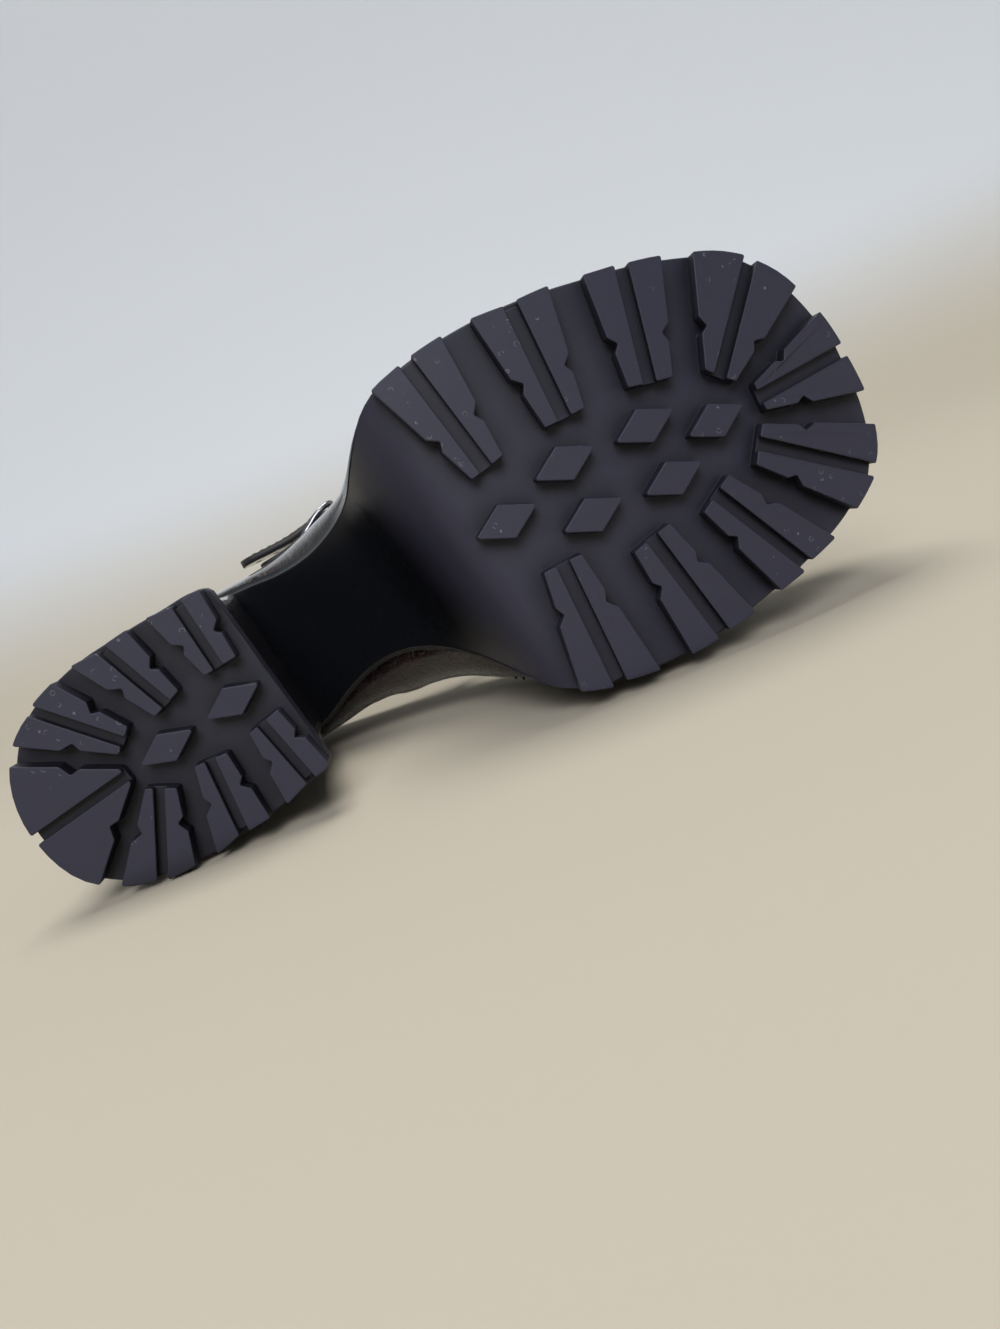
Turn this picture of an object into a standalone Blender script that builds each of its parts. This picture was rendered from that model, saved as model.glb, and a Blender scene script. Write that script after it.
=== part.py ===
"""Platform mary jane, right shoe, lying on its medial side.

The shoe is drawn standing: X runs from the back of the heel to the toe, Y to the medial side and Z up
from the tread, in millimetres. One closed outline with paired lateral and medial points carries the
sole, the upper and the insole. The empty "stance" then lays the shoe on its medial side, in metres.
"""
import math

import bmesh
import bpy
import numpy as np
from mathutils import Matrix, Vector

MM = 0.001
GAP = 0.3

# Driving sizes.
TREAD_LENGTH = 245.0
LUG_HEIGHT = 5.0
LUG_DRAFT = 0.5
LUG_RECESS = 0.5
LUG_SINK = 1.2
ARC_STEP = 5.0
GROOVE_DEPTH = 2.4
SPRING_START = 130.0
TOE_SPRING = 20.0
SPRING_POWER = 2.2
LIFT_TOP = 10.7
SOLE_EDGE = 4.0
SEAT_GAP = 0.5
EDGE_ROUND = 1.3
EDGE_EASE = 0.35
SIDE_HOLLOW = 0.35
LIFT_BEVEL = (0.6, 0.5)
LIFT_MIDDLE = (36.0, 1.5)
LIFT_INSET = 0.015
LIFT_HALF_WIDTH = 27.0
BLOCK_LEVELS = 8
UPPER_WALL = 1.8
INSOLE_THICK = 3.0
INSOLE_GAP = 0.6
INSOLE_REST = 0.1
INSOLE_LEAN = 0.72
SECTION_POWER = 0.86
STRAP_WIDTH = 12.0
STRAP_THICK = 2.6
SAMPLE = 7.0
LIFT_STEP = 3.6

# Height of the last's bottom above the tread, from the heel seat over the waist to the toe.
LAST_BOTTOM = (
    # x, height
    (0, 92.0), (35, 92.0), (50, 91.3), (64, 88.6), (80, 81.0), (95, 71.2), (110, 60.4), (125, 50.4),
    (140, 42.6), (155, 37.9), (170, 36.0), (185, 36.3), (200, 38.2), (220, 42.9), (235, 47.5), (250, 52.6),
)

# Underside of the sole, one row a station from the back of the heel to the toe. Distances w are from the
# long axis. blend goes from 0, the thin waist, to 1, the full depth of the platform. flare is how far the
# top edge stands out past the lower one, and ledge how far the upper is set in from that top edge.
SOLE_COLUMNS = ("x_lat", "w_lat", "x_med", "w_med", "blend", "flare", "ledge")
SOLE_ROWS = (
    (8.0, -4.6, 8.0, 4.6, 0.0, 1.5, 0.8),
    (11.0, 8.0, 12.0, 17.0, 0.0, 1.5, 0.8),
    (20.0, 19.0, 21.0, 25.2, 0.0, 1.5, 0.8),
    (34.0, 25.3, 35.0, 28.8, 0.0, 1.5, 0.8),
    (50.0, 26.3, 51.0, 28.0, 0.0, 1.5, 0.8),
    (64.0, 25.2, 65.0, 24.6, 0.0, 1.5, 0.8),
    (76.0, 23.6, 77.0, 19.4, 0.0, 1.5, 0.8),
    (87.0, 23.8, 88.5, 16.2, 0.0, 1.5, 0.8),
    (96.0, 26.0, 100.0, 16.6, 0.0, 1.5, 0.8),
    (103.0, 29.0, 109.5, 20.6, 0.03, 1.6, 0.9),
    (108.0, 32.1, 117.0, 26.0, 0.2, 1.8, 1.2),
    (112.3, 36.1, 122.5, 31.4, 0.5, 2.2, 1.7),
    (117.3, 40.8, 127.0, 36.2, 0.78, 2.8, 2.4),
    (121.9, 44.6, 130.6, 39.8, 0.93, 3.3, 3.3),
    (127.0, 47.4, 134.8, 42.4, 0.99, 3.6, 4.1),
    (133.7, 48.9, 140.7, 45.1, 1.0, 3.6, 4.9),
    (148.5, 50.5, 155.5, 48.5, 1.0, 3.6, 5.5),
    (167.0, 49.9, 172.0, 49.7, 1.0, 3.6, 5.5),
    (187.3, 46.5, 191.3, 48.3, 1.0, 3.6, 5.5),
    (208.5, 41.5, 211.4, 45.2, 1.0, 3.5, 5.5),
    (225.3, 34.3, 227.7, 40.0, 1.0, 3.3, 5.3),
    (237.0, 23.4, 239.1, 32.1, 1.0, 3.1, 5.2),
    (243.2, 9.0, 244.1, 19.9, 1.0, 3.0, 5.2),
    (TREAD_LENGTH + 0.2, -6.0, TREAD_LENGTH + 0.2, 6.0, 1.0, 3.0, 5.2),
)

# Sections of the last over the same stations. swell is how far the widest point stands out past the lower
# edge of the upper and belly its height above it, on the lateral and the medial side. The ridge is the top
# of each section, and cut is the angle round the section at which the topline runs: 90 is closed.
LAST_COLUMNS = ("swell_lat", "swell_med", "belly_lat", "belly_med", "ridge_x", "ridge_y", "ridge_z", "cut")
LAST_ROWS = (
    (3.5, 3.5, 21.0, 21.0, 24.0, 3.0, 172.0, 34.3),
    (3.5, 3.5, 21.0, 21.0, 26.0, 3.0, 172.0, 34.0),
    (3.3, 3.5, 21.0, 21.0, 30.0, 2.5, 172.0, 33.0),
    (2.8, 3.2, 20.0, 20.0, 38.0, 2.0, 171.0, 31.6),
    (2.4, 4.0, 19.0, 19.0, 50.0, 1.0, 168.0, 29.7),
    (3.1, 6.5, 18.0, 19.0, 63.0, 0.0, 163.0, 29.7),
    (4.8, 11.0, 17.0, 19.0, 75.0, -1.0, 157.0, 33.2),
    (6.0, 15.2, 16.0, 19.0, 85.0, -1.5, 151.0, 38.0),
    (5.8, 15.8, 16.0, 19.0, 94.5, -1.5, 145.0, 43.0),
    (4.5, 13.6, 16.0, 18.5, 103.0, -1.5, 139.0, 46.0),
    (3.3, 10.6, 16.0, 18.0, 109.0, -1.0, 134.5, 45.0),
    (2.8, 8.2, 16.0, 17.0, 114.5, -1.0, 130.0, 43.5),
    (2.7, 6.2, 16.0, 16.0, 120.0, -1.0, 125.5, 42.5),
    (2.6, 4.8, 16.0, 15.0, 125.5, -0.5, 121.0, 42.0),
    (2.4, 3.8, 14.0, 14.0, 131.0, -0.5, 116.5, 42.0),
    (2.2, 3.0, 13.0, 13.0, 137.5, -0.5, 111.5, 45.0),
    (1.8, 2.0, 11.5, 11.5, 152.0, 0.0, 100.5, 55.0),
    (1.6, 1.6, 11.0, 11.0, 169.5, 0.0, 90.0, 90.0),
    (1.4, 1.4, 10.0, 10.0, 188.0, 1.5, 82.5, 90.0),
    (1.2, 1.2, 9.5, 9.5, 205.0, 3.0, 78.5, 90.0),
    (1.0, 1.0, 9.0, 9.0, 215.0, 4.5, 76.8, 90.0),
    (1.0, 1.0, 8.5, 8.5, 220.5, 5.3, 76.0, 90.0),
    (1.0, 1.0, 8.0, 8.0, 223.0, 5.8, 75.7, 90.0),
    (1.0, 1.0, 8.0, 8.0, 224.0, 6.0, 75.6, 90.0),
)

# Lug pairs round the edge of the forefoot: the middle of the pair's groove where it starts at the outline
# and where it ends inside, the spread of each lug's outer end from that groove, and their inner widths.
PAIR_COLUMNS = ("x_out", "w_out", "x_in", "w_in", "outer_a", "outer_b", "inner_a", "inner_b")
FOREFOOT_PAIRS = (
    (137.9, 49.7, 142.2, 17.7, 9.1, 8.9, 3.1, 4.1),
    (167.2, 49.2, 165.5, 18.7, 8.7, 8.9, 4.2, 4.4),
    (197.2, 44.5, 189.3, 15.7, 8.8, 9.3, 4.6, 5.1),
    (231.0, 30.5, 207.2, 8.2, 15.0, 13.3, 3.1, 3.2),
    (244.8, -2.7, 214.6, -1.6, 10.5, 10.6, 2.5, 2.6),
    (236.2, -35.0, 208.2, -11.9, 11.0, 10.5, 4.0, 4.3),
    (204.7, -46.4, 191.0, -17.0, 9.2, 8.6, 4.8, 4.6),
    (175.1, -49.5, 170.4, -18.0, 8.4, 8.4, 4.6, 4.7),
    (145.0, -46.2, 147.2, -11.9, 9.2, 8.9, 4.1, 4.1),
)
HEEL_PAIRS = (
    (65.3, -26.8, 62.4, -8.0, 5.6, 7.2, 4.5, 3.2),
    (44.1, -29.7, 46.8, -9.4, 6.1, 7.5, 3.8, 3.4),
    (20.7, -29.5, 32.5, -9.0, 7.7, 8.9, 3.6, 2.5),
    (0.1, -4.7, 27.5, -2.4, 18.4, 18.6, 1.4, 1.6),
    (16.9, 23.0, 31.5, 5.2, 8.6, 7.5, 2.6, 3.2),
    (39.3, 27.2, 45.4, 7.7, 7.2, 6.4, 3.4, 3.7),
    (60.5, 27.5, 60.9, 9.0, 7.1, 5.3, 3.2, 4.3),
)
FOREFOOT_DIAMONDS = ((140.2, 4.1), (160.0, 9.2), (160.0, -5.5), (182.8, 7.1), (183.0, -8.0), (200.5, -1.0))
HEEL_DIAMONDS = ((59.3, 0.2), (39.6, -1.4))
FOREFOOT_NOTCH = (0.55, 0.63, 0.70)
HEEL_NOTCH = (0.45, 0.56, 0.64)
NOTCH_DEPTH = 2.1
FOREFOOT_DIAMOND = (8.9, 4.75)
HEEL_DIAMOND = (8.1, 4.1)
HEEL_TURN = 4.7
FOREFOOT_GROOVE = 3.6
HEEL_GROOVE = 2.6

# Outline of the heel lift's plate with its turned axis: back, side points and the two breast corners.
LIFT_COLUMNS = ("x_lat", "w_lat", "x_med", "w_med")
LIFT_ROWS = (
    (-0.3, -4.8, -0.3, 4.8),
    (3.0, 10.3, 4.1, 19.2),
    (12.3, 21.0, 13.3, 26.7),
    (27.8, 26.7, 29.8, 30.7),
    (45.0, 28.0, 49.0, 30.0),
    (56.0, 28.1, 59.0, 28.7),
    (64.3, 28.1, 67.4, 27.2),
    (67.1, 27.5, 70.4, 26.3),
    (68.2, 26.0, 71.4, 24.6),
)
# The block heel: height, how far its back and breast move forward, and how far its sides stand out.
BLOCK_COLUMNS = ("z", "back", "breast", "spread")
BLOCK_ROWS = (
    (LIFT_TOP + GAP, 1.3, -0.5, -1.7),
    (24.0, 2.9, -2.5, -2.4),
    (42.0, 4.5, -4.6, -2.6),
    (62.0, 6.1, -6.6, -2.2),
    (78.0, 6.9, -8.4, -1.6),
    (89.0, 7.3, -10.0, -1.3),
)

# The strap's middle line on the last: station, angle round the section from the lateral side over the
# ridge (90) to the medial side (180), and its distance from the last's surface.
STRAP_COLUMNS = ("station", "angle", "lift")
STRAP_ROWS = (
    (9.4, 153.0, 0.8),
    (9.7, 143.0, 0.8),
    (10.1, 130.0, 0.9),
    (10.7, 112.0, 1.2),
    (11.1, 95.0, 1.6),
    (11.1, 80.0, 1.4),
    (10.7, 64.0, 1.0),
    (10.0, 50.0, 1.2),
    (9.2, 39.0, 2.4),
    (8.4, 31.0, 3.2),
    (7.5, 24.0, 2.9),
    (6.6, 18.0, 2.8),
    (5.7, 12.5, 3.5),
    (4.8, 8.5, 3.9),
)


def table(columns, rows):
    """The rows' columns by name."""
    return dict(zip(columns, np.array(rows, float).T))


def spline(knots, points, at, closed=True):
    """Smooth curve through points, whose places along the curve are knots; a closed one has one knot more."""
    points = np.asarray(points, float)
    knots = np.asarray(knots, float)
    if not closed:
        first = 2 * points[0] - points[1]
        last = 2 * points[-1] - points[-2]
        points = np.vstack([first, points, last])
        knots = np.concatenate([[2 * knots[0] - knots[1]], knots, [2 * knots[-1] - knots[-2]]])
    count = len(points)
    gaps = np.diff(knots)
    if closed:
        at = np.mod(at, knots[-1])
        slopes = (np.roll(points, -1, 0) - points) / gaps[:, None]
        before, after = np.roll(gaps, 1)[:, None], gaps[:, None]
        tangents = (np.roll(slopes, 1, 0) * after + slopes * before) / (before + after)
        span = np.clip(np.searchsorted(knots, at, side="right") - 1, 0, count - 1)
    else:
        slopes = np.diff(points, axis=0) / gaps[:, None]
        before, after = gaps[:-1, None], gaps[1:, None]
        inner = (slopes[:-1] * after + slopes[1:] * before) / (before + after)
        tangents = np.vstack([slopes[:1], inner, slopes[-1:]])
        span = np.clip(np.searchsorted(knots, at, side="right") - 1, 1, count - 3)
    following = (span + 1) % count
    width = gaps[span][:, None]
    t = ((at - knots[span]) / gaps[span])[:, None]
    return (
        points[span] * (2 * t**3 - 3 * t**2 + 1)
        + points[following] * (3 * t**2 - 2 * t**3)
        + tangents[span] * width * (t**3 - 2 * t**2 + t)
        + tangents[following] * width * (t**3 - t**2)
    )


def both_sides(data, lateral, medial):
    """Rows of the lateral side from heel to toe, then of the medial side back again."""
    near = np.column_stack([data[name] for name in lateral])
    far = np.column_stack([data[name] for name in medial])
    return np.concatenate([near, far[-2:0:-1]])


SOLE = table(SOLE_COLUMNS, SOLE_ROWS)
LAST = table(LAST_COLUMNS, LAST_ROWS)
SOLE["y_lat"] = -SOLE["w_lat"]
SOLE["y_med"] = SOLE["w_med"]
ROWS = len(SOLE_ROWS)


def station_knots():
    """Places of the rows along the closed outline, the same for both sides."""
    lateral = np.hypot(np.diff(SOLE["x_lat"]), np.diff(SOLE["y_lat"]))
    medial = np.hypot(np.diff(SOLE["x_med"]), np.diff(SOLE["y_med"]))
    steps = (lateral + medial) / 2
    return np.concatenate([[0.0], np.cumsum(np.concatenate([steps, steps[::-1]]))])


KNOTS = station_knots()
EDGE = ("blend", "flare", "ledge")
RIDGE = ("ridge_x", "ridge_y", "ridge_z", "cut")
OUTLINE = both_sides(SOLE, ("x_lat", "y_lat", *EDGE), ("x_med", "y_med", *EDGE))
FORM = both_sides(LAST, ("swell_lat", "belly_lat", *RIDGE), ("swell_med", "belly_med", *RIDGE))


def sample_places(spacing):
    """Places along the closed outline, paired across the shoe, with whole steps between the rows."""
    places = [0.0]
    for start, end in zip(KNOTS[: ROWS - 1], KNOTS[1:ROWS]):
        steps = max(1, round((end - start) / spacing))
        places += [start + (end - start) * (k + 1) / steps for k in range(steps)]
    places = np.array(places)
    return np.concatenate([places, (KNOTS[-1] - places)[-2:0:-1]])


def station_place(station):
    """Place along the lateral side of a station, whole or between two rows."""
    return np.interp(station, np.arange(ROWS), KNOTS[:ROWS])


def last_bottom(x):
    """Height of the last's bottom at x."""
    heights = np.array(LAST_BOTTOM)
    return spline(heights[:, 0], heights[:, 1:], np.atleast_1d(np.asarray(x, float)), closed=False)[:, 0]


def toe_spring(x):
    """Height of the tread at x, which leaves the ground towards the toe."""
    ahead = np.clip((np.asarray(x, float) - SPRING_START) / (TREAD_LENGTH - SPRING_START), 0, None)
    return TOE_SPRING * ahead**SPRING_POWER


def sole_lines(places):
    """The sole's lower edge, its top edge and the upper's lower edge in plan, and the blend, at places."""
    values = spline(KNOTS, OUTLINE, places)
    lower, blend, flare, ledge = values[:, :2], values[:, 2], values[:, 3], values[:, 4]
    step = 0.5
    ahead = spline(KNOTS, OUTLINE, places + step)[:, :2]
    behind = spline(KNOTS, OUTLINE, places - step)[:, :2]
    along = ahead - behind
    normal = np.column_stack([along[:, 1], -along[:, 0]])
    normal /= np.linalg.norm(normal, axis=1)[:, None]
    top = lower + normal * flare[:, None]
    feather = top - normal * ledge[:, None]
    return lower, top, feather, np.clip(blend, 0, 1), normal


def last_point(places, angles):
    """Points of the last's surface. Angle -90 is the upper's lower edge, 0 the widest point, 90 the ridge."""
    _, _, feather, _, normal = sole_lines(places)
    swell, belly, ridge_x, ridge_y, ridge_z, _ = spline(KNOTS, FORM, places).T
    turn = np.radians(angles)
    low = np.clip(turn, -math.pi / 2, 0)
    high = np.clip(turn, 0, math.pi / 2)
    widest = feather + normal * (swell * np.cos(low))[:, None]
    side_z = last_bottom(widest[:, 0]) + GAP + belly * (1 + np.sin(low))
    inward = 1 - np.cos(high) ** SECTION_POWER
    rise = np.sin(high) ** SECTION_POWER
    plan = widest + (np.column_stack([ridge_x, ridge_y]) - widest) * inward[:, None]
    return np.column_stack([plan, side_z + (ridge_z - side_z) * rise])


def last_normal(places, angles):
    """Unit vectors out of the last's surface."""
    step = 0.6
    along = last_point(places + step, angles) - last_point(places - step, angles)
    above = last_point(places, np.minimum(angles + step, 90))
    below = last_point(places, np.maximum(angles - step, -90))
    normal = np.cross(along, above - below)
    return normal / np.linalg.norm(normal, axis=1)[:, None]


def material(name, colour, roughness, metallic=0.0):
    made = bpy.data.materials.new(name)
    made.use_nodes = True
    shader = made.node_tree.nodes["Principled BSDF"]
    shader.inputs["Base Color"].default_value = (*colour, 1.0)
    shader.inputs["Roughness"].default_value = roughness
    shader.inputs["Metallic"].default_value = metallic
    return made


def solid(name, points, faces, finish=None, parent=None):
    """One object from points in millimetres: coincident points joined, faces turned out, edges kept sharp."""
    mesh = bpy.data.meshes.new(name)
    grid = bmesh.new()
    corners = [grid.verts.new(Vector(p) * MM) for p in points]
    for face in faces:
        distinct = list(dict.fromkeys(face))
        if len(distinct) > 2:
            grid.faces.new([corners[i] for i in distinct])
    bmesh.ops.remove_doubles(grid, verts=grid.verts, dist=1e-6)
    bmesh.ops.dissolve_degenerate(grid, edges=grid.edges, dist=1e-7)
    bmesh.ops.recalc_face_normals(grid, faces=grid.faces)
    if grid.calc_volume(signed=True) < 0:
        bmesh.ops.reverse_faces(grid, faces=grid.faces)
    grid.to_mesh(mesh)
    grid.free()
    mesh.shade_smooth()
    mesh.set_sharp_from_angle(angle=math.radians(35))
    made = bpy.data.objects.new(name, mesh)
    bpy.context.collection.objects.link(made)
    if finish:
        mesh.materials.append(finish)
    made.parent = parent
    return made


def helper(made):
    """Marks a Boolean's operand, which is no piece of the shoe."""
    made.hide_render = True
    made.display_type = "WIRE"
    return made


def slab(layers, across, low=None, high=None):
    """Points and faces of a closed slab between stacked rings of paired stations.

    Each layer holds lateral and medial points, from back to front. low and high give the height of the
    bottom and top faces at x, or None for straight lines across.
    """
    points, faces, rims = [], [], []

    def cap(layer, height, flip):
        lateral, medial = (np.asarray(side, float) for side in layer)
        first = len(points)
        for start, end in zip(lateral, medial):
            for k in range(across + 1):
                point = start + (end - start) * k / across
                if height is not None:
                    point = np.array([point[0], point[1], height(point[0])[0]])
                points.append(point)
        count = len(lateral)

        def at(i, k):
            return first + i * (across + 1) + k

        for i in range(count - 1):
            for k in range(across):
                quad = (at(i, k), at(i + 1, k), at(i + 1, k + 1), at(i, k + 1))
                faces.append(quad[::-1] if flip else quad)
        return (
            [at(i, 0) for i in range(count)]
            + [at(count - 1, k) for k in range(1, across)]
            + [at(i, across) for i in reversed(range(count))]
            + [at(0, k) for k in reversed(range(1, across))]
        )

    rims.append(cap(layers[0], low, False))
    for lateral, medial in layers[1:-1]:
        first = len(points)
        lateral, medial = np.asarray(lateral, float), np.asarray(medial, float)
        front = [lateral[-1] + (medial[-1] - lateral[-1]) * k / across for k in range(1, across)]
        back = [medial[0] + (lateral[0] - medial[0]) * k / across for k in range(1, across)]
        ring = [*lateral, *front, *medial[::-1], *back]
        points.extend(ring)
        rims.append(list(range(first, first + len(ring))))
    rims.append(cap(layers[-1], high, True))
    for lower, upper in zip(rims, rims[1:]):
        for i in range(len(lower)):
            j = (i + 1) % len(lower)
            faces.append((lower[i], lower[j], upper[j], upper[i]))
    return points, faces


def halves(ring):
    """Lateral and medial points, both from heel to toe, of a closed ring of paired places."""
    count = len(ring) // 2 + 1
    return ring[:count], np.concatenate([ring[:1], ring[: count - 2 : -1]])


def prism(outline, bottom, top, spread):
    """Points and faces of a prism between two heights over the tread; its top outline is spread outwards."""
    ring = np.asarray(outline, float)
    if np.cross(np.roll(ring, -1, 0) - ring, np.roll(ring, -2, 0) - ring).sum() < 0:
        ring = ring[::-1]
    edges = np.roll(ring, -1, 0) - ring
    normals = np.column_stack([edges[:, 1], -edges[:, 0]])
    normals /= np.linalg.norm(normals, axis=1)[:, None]
    joined = normals + np.roll(normals, 1, 0)
    offset = 2 * joined / np.maximum(np.sum(joined**2, axis=1), 1.0)[:, None]
    upper = ring + offset * spread
    count = len(ring)
    points = [(x, y, toe_spring(x) + bottom) for x, y in ring]
    points += [(x, y, toe_spring(x) + top) for x, y in upper]
    faces = [tuple(range(count))[::-1], tuple(range(count, 2 * count))]
    faces += [(i, (i + 1) % count, count + (i + 1) % count, count + i) for i in range(count)]
    return points, faces


def joined(name, pieces, parent):
    """One helper mesh from several separate prisms."""
    points, faces = [], []
    for piece_points, piece_faces in pieces:
        start = len(points)
        points.extend(piece_points)
        faces.extend(tuple(start + i for i in face) for face in piece_faces)
    return helper(solid(name, points, faces, parent=parent))


def end_arc(outline, outer, start, first, spread):
    """Points between the two outer corners of a lug, so that its end follows the tread's edge."""
    count = 1 + int(abs(spread) / ARC_STEP)
    offset = start - outline(outer, first)
    shares = [k / (count + 1) for k in range(1, count + 1)]
    return [outline(outer, first + spread * share) + offset * (1 - share) for share in shares]


def pair_lugs(row, groove, notch, outline):
    """Outlines in plan of the two lugs of a pair and of the low web between them.

    outline(point, distance) is the point of the tread's edge that lies a distance round from the first.
    """
    pair = dict(zip(PAIR_COLUMNS, row))
    outer = np.array([pair["x_out"], -pair["w_out"]])
    inner = np.array([pair["x_in"], -pair["w_in"]])
    along = (inner - outer) / np.linalg.norm(inner - outer)
    side = np.array([-along[1], along[0]])
    lugs = []
    for letter, sign in (("a", -1), ("b", 1)):
        across = side * -sign
        near_out = outer + across * groove / 2
        near_in = inner + across * groove / 2
        far_out = outline(outer, sign * (pair["outer_" + letter] + groove / 2))
        far_in = near_in + across * pair["inner_" + letter]
        edge = end_arc(outline, outer, near_out, sign * groove / 2, sign * pair["outer_" + letter])
        flank = far_in - far_out
        into = -np.array([-flank[1], flank[0]]) / np.linalg.norm(flank)
        into *= -np.sign(into @ across)
        shoulder, nick, rest = (far_out + flank * share for share in notch)
        lugs.append(
            [
                near_out,
                *edge,
                far_out,
                shoulder,
                nick + into * NOTCH_DEPTH,
                rest + into * LUG_RECESS,
                far_in + into * LUG_RECESS,
                near_in,
            ]
        )
    half = groove / 2 + LUG_HEIGHT / 10
    web = [outer + side * half + along, outer - side * half + along, inner - side * half, inner + side * half]
    return lugs, web


def diamond(centre, size, turn):
    """Outline of a diamond lug."""
    angle = math.radians(-turn)
    long_way = np.array([math.cos(angle), math.sin(angle)]) * size[0]
    short_way = np.array([-math.sin(angle), math.cos(angle)]) * size[1]
    middle = np.array([centre[0], -centre[1]])
    return [middle + long_way, middle + short_way, middle - long_way, middle - short_way]


def walker(line):
    """A function that finds the point of a fine line at a signed distance from its place nearest a point."""
    lengths = np.concatenate([[0], np.cumsum(np.linalg.norm(np.diff(line, axis=0), axis=1))])

    def walk(point, distance):
        start = lengths[np.argmin(np.linalg.norm(line - point, axis=1))]
        place = start + distance
        return np.array([np.interp(place, lengths, line[:, 0]), np.interp(place, lengths, line[:, 1])])

    return walk


def tread_lugs(name, pairs, diamonds, notch, sizes, outline, parent):
    """Webs and lugs of a tread as two helpers: the webs of the grooves, then the lugs and the diamonds."""
    groove, diamond_size, turn = sizes
    root = LUG_HEIGHT + LUG_SINK
    lugs, webs = [], []
    for row in pairs:
        outlines, web = pair_lugs(row, groove, notch, outline)
        lugs += outlines
        webs.append(prism(web, GROOVE_DEPTH, root, 0.0))
    lugs += [diamond(centre, diamond_size, turn) for centre in diamonds]
    raised = [prism(lug, 0.0, root, LUG_DRAFT) for lug in lugs]
    return joined(name + "_webs", webs, parent), joined(name + "_lugs", raised, parent)


def unite(target, others):
    for other in others:
        boolean = target.modifiers.new(other.name, "BOOLEAN")
        boolean.solver = "MANIFOLD"
        boolean.operation = "UNION"
        boolean.object = other


def sole_height(x, blend):
    """Height of the sole's underside: the thin waist where blend is 0, the platform where it is 1."""
    thin = last_bottom(x) - SOLE_EDGE
    deep = toe_spring(x) + LUG_HEIGHT
    return thin + (deep - thin) * blend


def make_outsole(finish, parent):
    places = sample_places(SAMPLE)
    lower, top, _, blend, normal = sole_lines(places)
    under = sole_height(lower[:, 0], blend)
    over = last_bottom(top[:, 0])
    middle = lower + (top - lower) * SIDE_HOLLOW
    inset = normal * EDGE_ROUND
    eased = EDGE_ROUND * EDGE_EASE
    lines = (
        (lower - inset, under),
        (lower - inset * EDGE_EASE, under + eased),
        (lower, under + EDGE_ROUND),
        (middle, (under + over) / 2),
        (top, over - EDGE_ROUND),
        (top - inset * EDGE_EASE, over - eased),
        (top - inset, over),
    )
    layers = [halves(np.column_stack(line)) for line in lines]
    points, faces = slab(layers, 8, high=last_bottom)
    made = solid("outsole", points, faces, finish, parent)
    edge = walker(sole_lines(np.linspace(0, KNOTS[-1], 1600, endpoint=False))[0])
    sizes = (FOREFOOT_GROOVE, FOREFOOT_DIAMOND, 0.0)
    lugs = tread_lugs("forefoot", FOREFOOT_PAIRS, FOREFOOT_DIAMONDS, FOREFOOT_NOTCH, sizes, edge, parent)
    unite(made, lugs)
    return made


def lift_line(spacing):
    """The heel's outline from the medial breast corner round the back to the lateral one."""
    rows = table(LIFT_COLUMNS, LIFT_ROWS)
    medial = np.column_stack([rows["x_med"], rows["w_med"]])
    lateral = np.column_stack([rows["x_lat"], -rows["w_lat"]])
    points = np.concatenate([medial[::-1], lateral[1:]])
    knots = np.concatenate([[0], np.cumsum(np.linalg.norm(np.diff(points, axis=0), axis=1))])
    middle = knots[len(medial) - 1]
    steps = max(2, round(middle / spacing))
    back_again = np.linspace(middle, knots[-1], steps + 1)[1:]
    places = np.concatenate([np.linspace(0, middle, steps + 1), back_again])
    return spline(knots, points, places, closed=False)


def heel_sides(line, height):
    """Lateral and medial points from the back to the breast, at a height."""
    middle = len(line) // 2
    heights = np.broadcast_to(height, len(line))
    full = np.column_stack([line, heights])
    return full[middle:], full[middle::-1]


def make_heel_lift(finish, parent):
    line = lift_line(LIFT_STEP)
    inner = line + (np.array(LIFT_MIDDLE) - line) * LIFT_INSET
    layers = [
        heel_sides(inner, LUG_HEIGHT),
        heel_sides(line, LUG_HEIGHT + LIFT_BEVEL[0]),
        heel_sides(line, LIFT_TOP - LIFT_BEVEL[1]),
        heel_sides(inner, LIFT_TOP),
    ]
    points, faces = slab(layers, 4)
    made = solid("heel_lift", points, faces, finish, parent)
    edge = walker(lift_line(0.4))
    sizes = (HEEL_GROOVE, HEEL_DIAMOND, HEEL_TURN)
    unite(made, tread_lugs("heel", HEEL_PAIRS, HEEL_DIAMONDS, HEEL_NOTCH, sizes, edge, parent))
    return made


def seat(x):
    """Height of the heel block's top at x, under the sole."""
    return last_bottom(x) - SOLE_EDGE - SEAT_GAP


def make_heel_block(finish, parent):
    line = lift_line(LIFT_STEP)
    reach = (line[:, 0] - line[:, 0].min()) / np.ptp(line[:, 0])
    rows = table(BLOCK_COLUMNS, BLOCK_ROWS)
    layers = []
    for z in np.linspace(rows["z"][0], rows["z"][-1], BLOCK_LEVELS + 1):
        back, breast, spread = (np.interp(z, rows["z"], rows[name]) for name in BLOCK_COLUMNS[1:])
        ring = line + np.column_stack([back + (breast - back) * reach, np.zeros(len(line))])
        ring[:, 1] = LIFT_MIDDLE[1] + (ring[:, 1] - LIFT_MIDDLE[1]) * (1 + spread / LIFT_HALF_WIDTH)
        layers.append(heel_sides(ring, seat(ring[:, 0]) if z == rows["z"][-1] else z))
    points, faces = slab(layers, 4, high=seat)
    return solid("heel_block", points, faces, finish, parent)


LOW_ANGLES = (-90.0, -55.0, -25.0, 0.0)
HIGH_STEPS = 6
THROAT_ANGLE = 35.0


def topline(places):
    """Angle round each section at which the upper ends; 90 where the section is closed."""
    cut = np.minimum(spline(KNOTS, FORM, places)[:, 5], 90.0)
    share = (90.0 - cut) / THROAT_ANGLE
    return np.where(share < 1, 90.0 - THROAT_ANGLE * np.sqrt(share), cut)


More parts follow.
